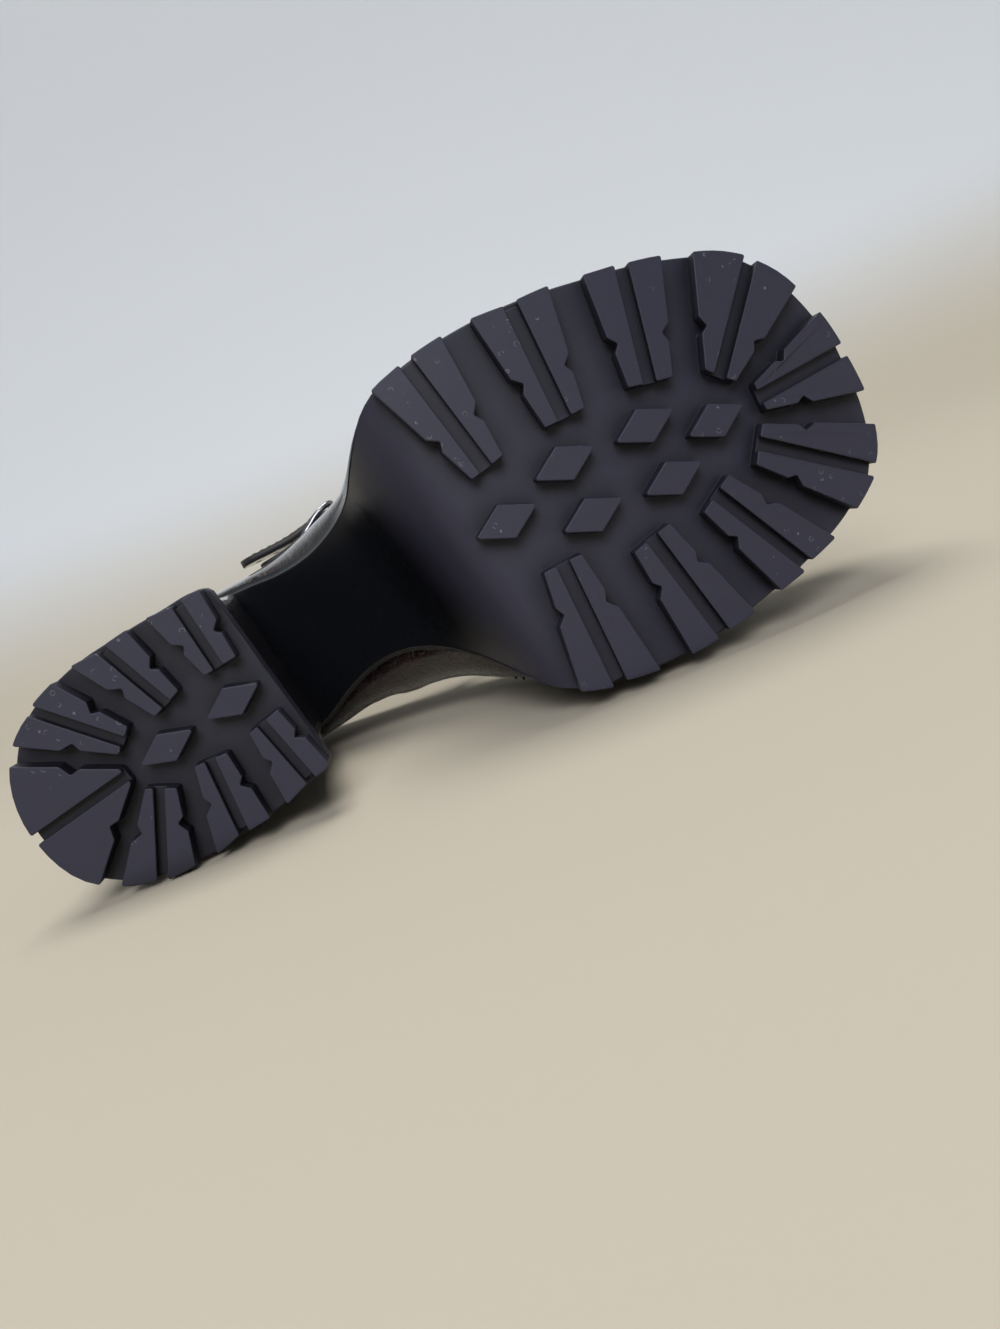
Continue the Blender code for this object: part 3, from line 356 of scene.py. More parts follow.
def last_point(places, angles):
    """Points of the last's surface. Angle -90 is the upper's lower edge, 0 the widest point, 90 the ridge."""
    _, _, feather, _, normal = sole_lines(places)
    swell, belly, ridge_x, ridge_y, ridge_z, _ = spline(KNOTS, FORM, places).T
    turn = np.radians(angles)
    low = np.clip(turn, -pi / 2, 0)
    high = np.clip(turn, 0, pi / 2)
    widest = feather + normal * (swell * np.cos(low))[:, None]
    side_z = last_bottom(widest[:, 0]) + GAP + belly * (1 + np.sin(low))
    inward = 1 - np.cos(high) ** SECTION_POWER
    rise = np.sin(high) ** SECTION_POWER
    plan = widest + (np.column_stack([ridge_x, ridge_y]) - widest) * inward[:, None]
    return np.column_stack([plan, side_z + (ridge_z - side_z) * rise])


def last_normal(places, angles):
    """Unit vectors out of the last's surface."""
    step = 0.6
    along = last_point(places + step, angles) - last_point(places - step, angles)
    above = last_point(places, np.minimum(angles + step, 90))
    below = last_point(places, np.maximum(angles - step, -90))
    return unit(np.cross(along, above - below))


def on_last(rows, count):
    """Points, normals and further columns along a smooth line of (station, angle, ...) rows on the last."""
    fine = np.linspace(0, len(rows) - 1, count)
    station, angle, *others = spline(np.arange(len(rows)), rows, fine, closed=False).T
    medial = angle > 90
    places = station_place(station)
    places = np.where(medial, KNOTS[-1] - places, places)
    angle = np.where(medial, 180 - angle, angle)
    return last_point(places, angle), last_normal(places, angle), others


def laid(points):
    """Places on the floor, in metres, of points of the standing shoe."""
    return (np.asarray(points, float) @ LIE_AXES.T + LIE_SHIFT) * MM


# ------------------------------------------------------------------ finishes


class Wave:
    """A socket that can be used in sums: each sign adds a Math node to its finish."""

    def __init__(self, finish, socket):
        self.finish = finish
        self.socket = socket

    def math(self, operation, *values):
        return self.finish.node("ShaderNodeMath", {"operation": operation}, *values)

    def __add__(self, other):
        return self.math("ADD", self, other)

    def __sub__(self, other):
        return self.math("SUBTRACT", self, other)

    def __rsub__(self, other):
        return self.math("SUBTRACT", other, self)

    def __mul__(self, other):
        return self.math("MULTIPLY", self, other)

    def __pow__(self, other):
        return self.math("POWER", self, other)

    __radd__ = __add__
    __rmul__ = __mul__

    def size(self):
        return self.math("ABSOLUTE", self)

    def step(self, low, high):
        """0 up to low, 1 from high, and soft between."""
        settings = {"interpolation_type": "SMOOTHSTEP"}
        return self.finish.node("ShaderNodeMapRange", settings, self, low, high, 0.0, 1.0)


# Width of the cells that hold the rubber's small arcs, and the radius of an arc.
ARC_CELL = 3.6
ARC_RADIUS = 0.62


class Finish:
    """One material and the nodes that feed its shader."""

    def __init__(self, name, **constants):
        self.material = bpy.data.materials.new(name)
        self.material.use_nodes = True
        self.tree = self.material.node_tree
        self.shader = self.tree.nodes["Principled BSDF"]
        for socket, value in constants.items():
            self.shader.inputs[socket.replace("_", " ").title().replace("Ior", "IOR")].default_value = value

    def link(self, value, socket):
        if isinstance(value, Wave):
            self.tree.links.new(value.socket, socket)
        else:
            socket.default_value = value

    def node(self, kind, settings, *values, out=0, **named):
        """A node of a type, with its settings, then its inputs in order or by name."""
        made = self.tree.nodes.new(kind)
        for name, value in settings.items():
            setattr(made, name, value)
        for value, socket in zip(values, made.inputs):
            self.link(value, socket)
        for name, value in named.items():
            self.link(value, made.inputs[name])
        return Wave(self, made.outputs[out])

    def mark(self, name):
        """A number that the mesh holds at each point."""
        return self.node("ShaderNodeAttribute", {"attribute_name": name}, out="Fac")

    def place(self, stretch=(1.0, 1.0, 1.0)):
        """The point's place on the standing shoe, in millimetres, stretched."""
        shoe = self.node("ShaderNodeAttribute", {"attribute_name": "shoe"}, out="Vector")
        return self.node("ShaderNodeVectorMath", {"operation": "MULTIPLY"}, shoe, stretch)

    def axis(self, index):
        """The place along one of the shoe's axes."""
        return self.node("ShaderNodeSeparateXYZ", {}, self.place(), out=index)

    def noise(self, size, detail=2.0, rough=0.5, distortion=0.0, stretch=(1.0, 1.0, 1.0)):
        """Soft noise whose lumps are about size millimetres wide."""
        return self.node(
            "ShaderNodeTexNoise", {}, Vector=self.place(stretch), Scale=1.0 / size,
            Detail=detail, Roughness=rough, Distortion=distortion,
        )

    def cells(self, size, feature="F1", place=None, **settings):
        """Distances in a pattern of cells about size millimetres wide."""
        settings.update(Vector=place or self.place(), Scale=1.0 / size)
        return self.node("ShaderNodeTexVoronoi", {"feature": feature}, **settings)

    def crescents(self):
        """Small pale arcs, each part of a ring over a millimetre wide, most at the outer rear of the ball."""
        bend = self.noise(7.0, 1.0) * 1.2
        bent = self.node("ShaderNodeVectorMath", {"operation": "ADD"}, self.place(), bend)
        far = self.cells(ARC_CELL, place=bent, Randomness=0.9) * ARC_CELL
        ring = 1.0 - (far - ARC_RADIUS).size().step(0.02, 0.12)
        part = self.noise(1.3, 0.0).step(0.47, 0.54)
        rear = 1.0 - self.axis(0).step(112.0, 175.0)
        outer = 1.0 - self.axis(1).step(-34.0, -12.0)
        rare = (self.noise(24.0, 1.0) + rear * outer * 0.34).step(0.49, 0.58)
        return ring * part * rare

    def blend(self, share, first, second):
        """A colour between two others."""
        mixed = self.node("ShaderNodeMix", {"data_type": "RGBA"}, share, out=2)
        for value, socket in zip((first, second), mixed.socket.node.inputs[6:8]):
            self.link(value if isinstance(value, Wave) else (*value, 1.0), socket)
        return mixed

    def bump(self, height, strength, depth, normal=None):
        """The surface normal over a relief that is depth millimetres deep."""
        named = {"Height": height, "Strength": strength, "Distance": depth * MM}
        if normal:
            named["Normal"] = normal
        return self.node("ShaderNodeBump", {}, **named)

    def feed(self, **values):
        for name, value in values.items():
            self.link(value, self.shader.inputs[name.replace("_", " ")])
        return self.material


def rubber(name, painted_shade_scale=(1.0, 1.0)):
    """Matte moulded rubber: fine grain, greyer on the tread, with painted shade in the recesses, and darker
    on the waist.
    """
    f = Finish(name, specular_ior_level=0.32)
    face = f.mark("tread")
    waist = f.mark("waist")
    cloud = f.noise(26.0, 3.0)
    fine = f.noise(0.55, 2.0, 0.6)
    speck = f.noise(3.2, 4.0, 0.7).step(0.58, 0.76)
    # Painted shade: an ambient occlusion node darkens the colour in the grooves and between the lugs, where
    # shade falls.
    occlusion = f.node("ShaderNodeAmbientOcclusion", {"samples": 2}, Distance=7.0 * MM, out="AO")
    unshaded_share = occlusion.step(0.42, 0.97)
    # Painted shade: the scale darkens the base and face colours for a shaded copy of the rubber.
    dark = tuple(c * painted_shade_scale[0] for c in (0.0235, 0.0233, 0.0405))
    pale = tuple(c * painted_shade_scale[1] for c in (0.0285, 0.0285, 0.0480))
    worn = f.blend(face * 0.8 + cloud * 0.35, dark, pale)
    dusty = f.blend(speck * face * 0.10, worn, (0.09, 0.09, 0.10))
    scuffed = f.blend(f.crescents() * face * 0.8, dusty, (0.15, 0.15, 0.17))
    painted_recess_shade = f.blend(unshaded_share, (0.0055, 0.0053, 0.0090), scuffed)
    deep = f.blend(waist, painted_recess_shade, (0.0048, 0.0054, 0.0074))
    roughness = 0.50 - face * 0.05 + cloud * 0.06 - waist * 0.26
    grain = f.bump(fine, 0.35, 0.05)
    swell = f.bump(f.noise(9.0, 2.0), 0.5, 0.12, grain)
    return f.feed(Base_Color=deep, Roughness=roughness, Normal=swell)


def patent(name, crinkle=1.0):
    """Crinkled patent: near-black burgundy under a hard gloss, full of fine folds."""
    f = Finish(name, coat_weight=1.0, coat_roughness=0.04, specular_ior_level=0.5)
    warp = f.noise(14.0, 2.0)
    fold = f.noise(5.2, 4.0, 0.55, 0.9, (1.0, 1.0, 0.55))
    ridge = 1.0 - (fold * 2.0 - 1.0).size()
    crack = f.cells(2.6, "DISTANCE_TO_EDGE").step(0.02, 0.30)
    fine = f.noise(1.1, 3.0, 0.6)
    colour = f.blend(warp.step(0.35, 0.7), (0.0060, 0.0035, 0.0045), (0.0130, 0.0045, 0.0062))
    roughness = 0.14 + fine * 0.10 + (1.0 - crack) * 0.08
    soft = f.bump(ridge ** 2.0, 0.75 * crinkle, 0.55)
    cracked = f.bump(crack, 0.45 * crinkle, 0.16, soft)
    grained = f.bump(fine, 0.25, 0.05, cracked)
    return f.feed(Base_Color=colour, Roughness=roughness, Normal=grained)


def lining(name, colour):
    """Lining leather: matte, with fine pores."""
    f = Finish(name, specular_ior_level=0.35)
    pore = f.cells(0.9).step(0.0, 0.55)
    cloud = f.noise(18.0, 3.0)
    light = tuple(c * 1.35 for c in colour)
    tone = f.blend(cloud * 0.6 + pore * 0.3, colour, light)
    grain = f.bump(pore, 0.4, 0.08)
    return f.feed(Base_Color=tone, Roughness=0.58 + cloud * 0.12, Normal=grain)


def thread(name):
    """Waxed thread, twisted."""
    f = Finish(name, specular_ior_level=0.4)
    twist = f.noise(0.35, 1.0, stretch=(1.0, 1.0, 2.0))
    tone = f.blend(twist, (0.006, 0.005, 0.006), (0.022, 0.018, 0.020))
    return f.feed(Base_Color=tone, Roughness=0.5 + twist * 0.15, Normal=f.bump(twist, 0.5, 0.08))


def edge_paint(name):
    """Painted cut edge of the strap: matte black, a little uneven."""
    f = Finish(name, specular_ior_level=0.4)
    cloud = f.noise(2.5, 2.0)
    tone = f.blend(cloud, (0.008, 0.007, 0.008), (0.018, 0.015, 0.017))
    return f.feed(Base_Color=tone, Roughness=0.42 + cloud * 0.14, Normal=f.bump(cloud, 0.4, 0.1))


def nickel(name):
    """Polished dark nickel with fine scratches."""
    f = Finish(name, metallic=1.0)
    scratch = f.noise(0.8, 3.0, 0.7, stretch=(1.0, 0.15, 1.0))
    cloud = f.noise(4.0, 2.0)
    tone = f.blend(cloud, (0.18, 0.18, 0.195), (0.32, 0.32, 0.34))
    return f.feed(Base_Color=tone, Roughness=0.16 + scratch * 0.16, Normal=f.bump(scratch, 0.12, 0.02))


def studio_paper(name):
    """Floor and wall: warm pale paper below, cool pale grey above, deeper on the tread's side."""
    f = Finish(name, specular_ior_level=0.1, roughness=0.9)
    position = f.node("ShaderNodeNewGeometry", {}, out="Position")
    _, depth, height = (f.node("ShaderNodeSeparateXYZ", {}, position, out=axis) for axis in range(3))
    wall = f.blend(depth.step(-1.3, -0.2), (0.40, 0.42, 0.45), (0.62, 0.645, 0.675))
    tone = f.blend(height.step(0.01, 0.30), (0.465, 0.42, 0.337), wall)
    return f.feed(Base_Color=tone)


FINISHES = {
    "black_rubber": rubber("black_rubber"),
    # The heel's rubber is the sole's rubber with painted shade: its base colour is scaled to 0.60 and its
    # faces to 0.95.
    "heel_rubber": rubber("heel_rubber", (0.60, 0.95)),
    "patent": patent("burgundy_black_patent"),
    "heel_patent": patent("heel_patent", 1.1),
    "strap_patent": patent("strap_patent", 0.6),
    "lining": lining("lining_leather", (0.020, 0.018, 0.019)),
    "metal": nickel("nickel"),
    "thread": thread("black_thread"),
    "edge": edge_paint("edge_paint"),
}


# ------------------------------------------------------------------ pieces


SAME_POINT = 0.002 * MM


def linked(name, data):
    """A new object of the scene."""
    made = bpy.data.objects.new(name, data)
    bpy.context.scene.collection.objects.link(made)
    return made


def turned(made):
    """Faces the mesh outwards and joins the points that meet."""
    grid = bmesh.new()
    grid.from_mesh(made.data)
    bmesh.ops.remove_doubles(grid, verts=grid.verts, dist=SAME_POINT)
    bmesh.ops.recalc_face_normals(grid, faces=grid.faces)
    grid.to_mesh(made.data)
    grid.free()
    return made


def weighted(made):
    """Keeps flat faces flat beside their rounded edges."""
    modifier = made.modifiers.new("flat_faces", "WEIGHTED_NORMAL")
    modifier.keep_sharp = True
    return made


class Shape:
    """Points and faces of a mesh in the making, with a finish for each face and marks at each point."""

    def __init__(self, *marks):
        self.points = []
        self.faces = []
        self.choice = []
        self.marks = {mark: [] for mark in marks}

    def ring(self, points, **values):
        """Adds points in a row and returns their numbers."""
        first = len(self.points)
        self.points.extend(np.asarray(points, float))
        for mark, held in self.marks.items():
            held.extend(np.broadcast_to(values.get(mark, 0.0), len(points)))
        return list(range(first, first + len(points)))

    def hoop(self, centre, first, second, section):
        """A ring about a centre; its section gives distances along two directions."""
        return self.ring([centre + first * u + second * v for u, v in section])

    def face(self, corners, finish=0):
        self.faces.append(tuple(dict.fromkeys(corners)))
        self.choice.append(finish)

    def skin(self, rings, closed=True, finish=0, looped=False, capped=False):
        """Quads between rows of the same length, in one finish or with one for each column.

        A looped skin joins its last row to its first, and a capped one is closed at both ends.
        """
        count = len(rings[0])
        finishes = np.broadcast_to(finish, count).tolist()
        for lower, upper in zip(rings, rings[1:] + rings[:1] if looped else rings[1:]):
            for i in range(count if closed else count - 1):
                j = (i + 1) % count
                self.face((lower[i], lower[j], upper[j], upper[i]), finishes[i])
        if capped:
            self.face(rings[0][::-1], finishes[0])
            self.face(rings[-1], finishes[0])

    def mesh(self, name):
        mesh = bpy.data.meshes.new(name)
        mesh.from_pydata(laid(self.points).tolist(), [], self.faces)
        return mesh

    def made(self, name, finishes, slot=None, replaces=(), sharp=40.0):
        """A smooth piece of the shoe that rides with it."""
        mesh = self.mesh(name)
        for finish in finishes:
            mesh.materials.append(FINISHES[finish])
        mesh.polygons.foreach_set("material_index", self.choice)
        held = mesh.attributes.new("shoe", "FLOAT_VECTOR", "POINT")
        held.data.foreach_set("vector", np.array(self.points, np.float32).ravel())
        for mark, values in self.marks.items():
            held = mesh.attributes.new(mark, "FLOAT", "POINT")
            held.data.foreach_set("value", np.array(values, np.float32))
        mesh.validate()
        mesh.update()
        mesh.shade_smooth()
        mesh.set_sharp_from_angle(angle=radians(sharp))
        piece = turned(linked(name, mesh))
        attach(piece, "root")
        if replaces:
            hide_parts(*replaces)
        return piece


# ------------------------------------------------------------------ sole and heel


STRAIGHT = radians(82)
LUG_CORNER = 0.55
LUG_EDGE = 0.3
LUG_FOOT = 0.7
FOOT_REACH = 0.5
FOOT_FADE = 2.5
ARC_STEP = 5.0
# Turns over a lug's rounded tread edge, then reach and rise of its soft foot.
LUG_TURNS = (0.0, 0.45, 0.9, 1.35)
FOOT_PROFILE = ((0.0, 0.7), (0.25, 0.25), (0.7, 0.0), (1.0, -0.1), (1.0, -1.2))


def smooth_corners(outline, radius, steps=4):
    """The outline with each corner rounded by an arc."""
    ring = np.asarray(outline, float)
    made = []
    for before, corner, after in zip(np.roll(ring, 1, 0), ring, np.roll(ring, -1, 0)):
        sides = np.array([before - corner, after - corner])
        back, ahead = unit(sides)
        half = acos(np.clip(back @ ahead, -1, 1)) / 2
        if half > STRAIGHT:
            made.append(corner)
            continue
        reach = min(radius / tan(half), 0.45 * np.linalg.norm(sides, axis=1).min())
        centre = corner + unit(back + ahead) * reach / cos(half)
        start, end = corner + back * reach - centre, corner + ahead * reach - centre
        sweep = pi - 2 * half
        for t in np.linspace(0, 1, steps + 1):
            turn = start * sin((1 - t) * sweep) + end * sin(t * sweep)
            made.append(centre + turn / sin(sweep))
    return np.array(made)


def outward(ring):
    """Unit vectors out of a closed outline that runs counter-clockwise."""
    return aside(np.roll(ring, -1, 0) - np.roll(ring, 1, 0))


def area(ring):
    following = np.roll(ring, -1, 0)
    return (ring[:, 0] * following[:, 1] - ring[:, 1] * following[:, 0]).sum() / 2


def moulded_lug(shape, outline, edge_line, low, corner=LUG_CORNER, edge=LUG_EDGE, face=1.0):
    """A lug with a rounded tread edge and straight sides; its soft foot fades out at the tread's edge."""
    ring = smooth_corners(outline, corner)
    if area(ring) < 0:
        ring = ring[::-1]
    out = outward(ring)
    ground = toe_spring(ring[:, 0])
    inside = np.min(np.linalg.norm(ring[:, None] - edge_line[None], axis=2), axis=1)
    foot = FOOT_REACH * np.clip(inside / FOOT_FADE - 0.2, 0, 1)[:, None]
    rings = []
    for turn in LUG_TURNS:
        plan = ring - out * edge * (1 - sin(turn))
        height = ground + low + edge * (1 - cos(turn))
        rings.append(shape.ring(np.column_stack([plan, height]), tread=face))
    rings.append(shape.ring(np.column_stack([ring, ground + low + edge + 0.05]), tread=0.2 * face))
    for reach, rise in FOOT_PROFILE:
        height = ground + LUG_HEIGHT - rise * LUG_FOOT
        rings.append(shape.ring(np.column_stack([ring + out * foot * reach, height])))
    shape.face(rings[0][::-1])
    shape.skin(rings)


def end_arc(outline, outer, start, first, spread):
    """Points between the two outer corners of a lug, so that its end follows the tread's edge."""
    count = 1 + int(abs(spread) / ARC_STEP)
    offset = start - outline(outer, first)
    shares = [k / (count + 1) for k in range(1, count + 1)]
    return [outline(outer, first + spread * share) + offset * (1 - share) for share in shares]


def pair_lugs(row, groove, notch, outline):
    """Outlines in plan of the two lugs of a pair and of the low web between them.

    outline(point, distance) is the point of the tread's edge that lies a distance round from the first.
    """
    pair = dict(zip(PAIR_COLUMNS, row))
    outer = np.array([pair["x_out"], -pair["w_out"]])
    inner = np.array([pair["x_in"], -pair["w_in"]])
    along = unit(inner - outer)
    side = np.array([-along[1], along[0]])
    lugs = []
    for letter, sign in (("a", -1), ("b", 1)):
        across = side * -sign
        spread = pair["outer_" + letter]
        near_out = outer + across * groove / 2
        near_in = inner + across * groove / 2
        far_out = outline(outer, sign * (spread + groove / 2))
        far_in = near_in + across * pair["inner_" + letter]
        edge = end_arc(outline, outer, near_out, sign * groove / 2, sign * spread)
        flank = far_in - far_out
        into = unit(np.array([flank[1], -flank[0]]))
        into *= -np.sign(into @ across)
        shoulder, nick, rest = (far_out + flank * share for share in notch)
        nick = nick + into * NOTCH_DEPTH
        rest = rest + into * LUG_RECESS
        lugs.append([near_out, *edge, far_out, shoulder, nick, rest, far_in + into * LUG_RECESS, near_in])
    half = side * (groove / 2 + LUG_HEIGHT / 10)
    return lugs, [outer + half + along, outer - half + along, inner - half, inner + half]


def diamond(centre, size, turn):
    """Outline of a diamond lug."""
    angle = radians(-turn)
    long_way = np.array([cos(angle), sin(angle)]) * size[0]
    short_way = np.array([-sin(angle), cos(angle)]) * size[1]
    middle = np.array([centre[0], -centre[1]])
    return [middle + long_way, middle + short_way, middle - long_way, middle - short_way]


def walker(line):
    """A function that finds the point a signed distance along a line from its place nearest a point."""
    lengths = lengths_along(line)

    def walk(point, distance):
        nearest = np.argmin(np.linalg.norm(line - point, axis=1))
        return between(lengths[nearest] + distance, lengths, line)

    return walk


def tread_lugs(shape, pairs, diamonds, notch, sizes, edge_line):
    """Lug pairs with the webs of their grooves, and the diamonds in the middle."""
    groove, diamond_size, turn = sizes
    outline = walker(edge_line)
    for row in pairs:
        outlines, web = pair_lugs(row, groove, notch, outline)
        for lug in outlines:
            moulded_lug(shape, lug, edge_line, 0.0)
        moulded_lug(shape, web, edge_line, GROOVE_DEPTH, corner=0.2, edge=0.15, face=0.0)
    for centre in diamonds:
        moulded_lug(shape, diamond(centre, diamond_size, turn), edge_line, 0.0)


def sole_height(x, blend):
    """Height of the sole's underside: the thin waist where blend is 0, the platform where it is 1."""
    thin = last_bottom(x) - SOLE_EDGE
    deep = toe_spring(x) + LUG_HEIGHT
    return thin + (deep - thin) * blend


def edge_arc(radius, steps=4):
    """Inset and rise round a quarter of an edge's rounding, from its face to its side."""
    turns = np.radians(np.linspace(0, 90, steps + 1))
    return [(radius * (1 - sin(turn)), radius * (1 - cos(turn))) for turn in turns]


def cover(shape, rim, across, height=None):
    """Fills a closed ring of paired places with a grid, at height(x) or straight across between its sides."""
    last = len(rim) // 2
    rows = []
    for j in range(1, last):
        start, end = np.array(shape.points[rim[j]]), np.array(shape.points[rim[-j]])
        inner = start + (end - start) * (np.arange(1, across) / across)[:, None]
        if height:
            inner[:, 2] = height(inner[:, 0])
        values = {mark: held[rim[j]] for mark, held in shape.marks.items()}
        rows.append([rim[j], *shape.ring(inner, **values), rim[-j]])
    rows = [[rim[0]] * (across + 1), *rows, [rim[last]] * (across + 1)]
    for lower, upper in zip(rows, rows[1:]):
        for k in range(across):
            shape.face((lower[k], upper[k], upper[k + 1], lower[k + 1]))


# Blend at which the waist's smooth dark finish starts, and over how much blend it takes over.
WAIST_START = 0.82
WAIST_FADE = 0.55
# Levels up the sole's side between its roundings, and the curve of its flare over them.
SIDE_LEVELS = (0.2, 0.35, 0.5, 0.65, 0.8)
SIDE_CURVE = 1.25
LIFT_ROUND = 0.4
LIFT_TOP_ROUND = 0.5
BLOCK_ROUND = 0.5


def make_outsole():
    """Platform sole with its waist and the thin seat over the heel, and the forefoot's tread."""
    shape = Shape("tread", "waist")
    lower, top, _, blend, normal = sole_lines(sample_places(2.6))
    under = sole_height(lower[:, 0], blend)
    over = last_bottom(top[:, 0])
    side = over - under - SOLE_ROUND - EDGE_ROUND
    levels = [(lower - normal * inset, under + rise) for inset, rise in edge_arc(SOLE_ROUND)]
    for share in SIDE_LEVELS:
        levels.append((lower + (top - lower) * share**SIDE_CURVE, under + SOLE_ROUND + side * share))
    levels += [(top - normal * inset, over - drop) for inset, drop in reversed(edge_arc(EDGE_ROUND))]
    waist = np.clip((WAIST_START - blend) / WAIST_FADE, 0, 1)
    rings = [shape.ring(np.column_stack(level), waist=waist) for level in levels]
    shape.skin(rings)
    cover(shape, rings[0], 18)
    cover(shape, rings[-1], 12, last_bottom)
    edge_line = sole_lines(np.linspace(0, KNOTS[-1], 1600, endpoint=False))[0]
    sizes = (FOREFOOT_GROOVE, FOREFOOT_DIAMOND, 0.0)
    tread_lugs(shape, FOREFOOT_PAIRS, FOREFOOT_DIAMONDS, FOREFOOT_NOTCH, sizes, edge_line)
    weighted(shape.made("outsole", ["black_rubber"], replaces=["outsole"]))


def lift_line(spacing):
    """The heel's outline from the medial breast corner round the back to the lateral one."""
    rows = table(LIFT_COLUMNS, LIFT_ROWS)
    medial = np.column_stack([rows["x_med"], rows["w_med"]])
    lateral = np.column_stack([rows["x_lat"], -rows["w_lat"]])
    points = np.concatenate([medial[::-1], lateral[1:]])
    knots = lengths_along(points)
    middle = knots[len(medial) - 1]
    steps = max(2, round(middle / spacing))
    places = [np.linspace(0, middle, steps + 1), np.linspace(middle, knots[-1], steps + 1)[1:]]
    return spline(knots, points, np.concatenate(places), closed=False)


def heel_ring(line, across=16):
    """The heel's outline closed along the breast, its back first, paired from side to side."""
    middle = len(line) // 2
    medial, lateral = line[: middle + 1], line[middle:]
    breast = lateral[-1] + (medial[0] - lateral[-1]) * (np.arange(1, across) / across)[:, None]
    return np.concatenate([lateral, breast, medial[:-1]])


def heel_level(shape, line, height, inset=0.0):
    """One closed ring of the heel at a height, or at height(x)."""
    ring = heel_ring(line)
    ring = ring - outward(ring) * inset
    level = height(ring[:, 0]) if callable(height) else np.full(len(ring), height)
    return shape.ring(np.column_stack([ring, level]))


def make_heel_lift():
    """Rubber top piece of the heel with its own lugs."""
    shape = Shape("tread", "waist")
    line = lift_line(1.5)
    rings = [heel_level(shape, line, LUG_HEIGHT + rise, inset) for inset, rise in edge_arc(LIFT_ROUND)]
    for inset, drop in reversed(edge_arc(LIFT_TOP_ROUND)):
        rings.append(heel_level(shape, line, LIFT_TOP - drop, inset))
    shape.skin(rings)
    cover(shape, rings[0], 12)
    cover(shape, rings[-1], 12)
    sizes = (HEEL_GROOVE, HEEL_DIAMOND, HEEL_TURN)
    tread_lugs(shape, HEEL_PAIRS, HEEL_DIAMONDS, HEEL_NOTCH, sizes, lift_line(0.4))
    weighted(shape.made("heel_lift", ["heel_rubber"], replaces=["heel_lift"]))


def seat(x):
    """Height of the heel block's top at x, under the sole."""
    return last_bottom(x) - SOLE_EDGE - SEAT_GAP


def make_heel_block():
    """Block heel covered in the upper's patent."""
    shape = Shape()
    line = lift_line(2.0)
    reach = (line[:, 0] - line[:, 0].min()) / np.ptp(line[:, 0])
    rows = table(BLOCK_COLUMNS, BLOCK_ROWS)
    bottom, top = rows["z"][0], rows["z"][-1]

    def moved(height):
        back, breast, spread = (np.interp(height, rows["z"], rows[name]) for name in BLOCK_COLUMNS[1:])
        ring = line + np.column_stack([back + (breast - back) * reach, np.zeros(len(line))])
        ring[:, 1] = HEEL_MIDDLE + (ring[:, 1] - HEEL_MIDDLE) * (1 + spread / HEEL_HALF_WIDTH)
        return ring

    foot = edge_arc(BLOCK_ROUND)
    rings = [heel_level(shape, moved(bottom), bottom + rise, inset) for inset, rise in foot]
    for height in np.linspace(bottom, top, 30)[1:-1]:
        rings.append(heel_level(shape, moved(height), height))
    rings.append(heel_level(shape, moved(top), seat))
    shape.skin(rings)
    cover(shape, rings[0], 12)
    cover(shape, rings[-1], 12, seat)
    weighted(shape.made("heel_block", ["heel_patent"], replaces=["heel_block"]))


# ------------------------------------------------------------------ upper, lining and seams


LOW_STEPS = 9
HIGH_STEPS = 36
UPPER_SPACING = 2.0

# The quarter's front edge, from the throat down to the sole, as on the lateral side.
QUARTER_SEAM = (
    # station, angle
    (16.2, 62), (15.4, 48), (14, 33), (12.8, 17), (12.2, 0), (12, -40), (12, -80),
)
QUARTER_SIDES = (QUARTER_SEAM, [(station, 180.0 - angle) for station, angle in QUARTER_SEAM])
QUARTER_STEP = 0.28
# Soft creases of the vamp and quarters.
CREASES = (
    # station, start and end angle, lean, width, depth
    (17.2, 40, 140, 0.25, 3.2, 0.35),
    (17.9, 48, 128, -0.20, 2.8, 0.28),
    (18.6, 42, 96, 0.30, 3, 0.22),
    (13.2, 8, 40, 0.8, 3.4, 0.30),
    (11.4, 4, 34, -0.7, 3.8, 0.30),
    (13.4, 142, 172, -0.8, 3.4, 0.30),
    (11, 150, 176, 0.9, 3.6, 0.32),
    (5, 4, 26, 0.7, 4, 0.25),
    (5.4, 156, 176, -0.6, 4, 0.25),
)


def topline(places):
    """Angle round each section at which the upper ends; 90 where the section is closed."""
    cut = np.minimum(spline(KNOTS, FORM, places)[:, 5], 90.0)
    share = (90.0 - cut) / THROAT_ANGLE
    return np.where(share < 1, 90.0 - THROAT_ANGLE * np.sqrt(share), cut)


def upper_wall():
    """Outer points and normals of the upper, by place and level, and which sections are closed."""
    places = sample_places(UPPER_SPACING)
    cut = topline(places)
    closed_over = cut > 89.9
    angles = [np.full(len(places), angle) for angle in np.linspace(-90, 0, LOW_STEPS)]
    angles += [cut * k / HIGH_STEPS for k in range(1, HIGH_STEPS + 1)]
    outer = np.stack([last_point(places, angle) for angle in angles], axis=1)
    along = np.roll(outer, -1, 0) - np.roll(outer, 1, 0)
    normal = unit(np.cross(along, np.gradient(outer, axis=1)))
    mate = (-np.arange(len(places))) % len(places)
    ridge = unit(normal[:, -1] + normal[mate, -1])
    normal[closed_over, -1] = ridge[closed_over]
    return outer, normal, closed_over


OUTER, OUT, CLOSED = upper_wall()


def polyline_distance(points, line):
    """Distance of each point to a line of points."""
    best = np.full(len(points), 1e9)
    for a, b in zip(line, line[1:]):
        step = b - a
        t = np.clip(((points - a) @ step) / (step @ step), 0, 1)
        best = np.minimum(best, np.linalg.norm(points - a - t[:, None] * step, axis=1))
    return best


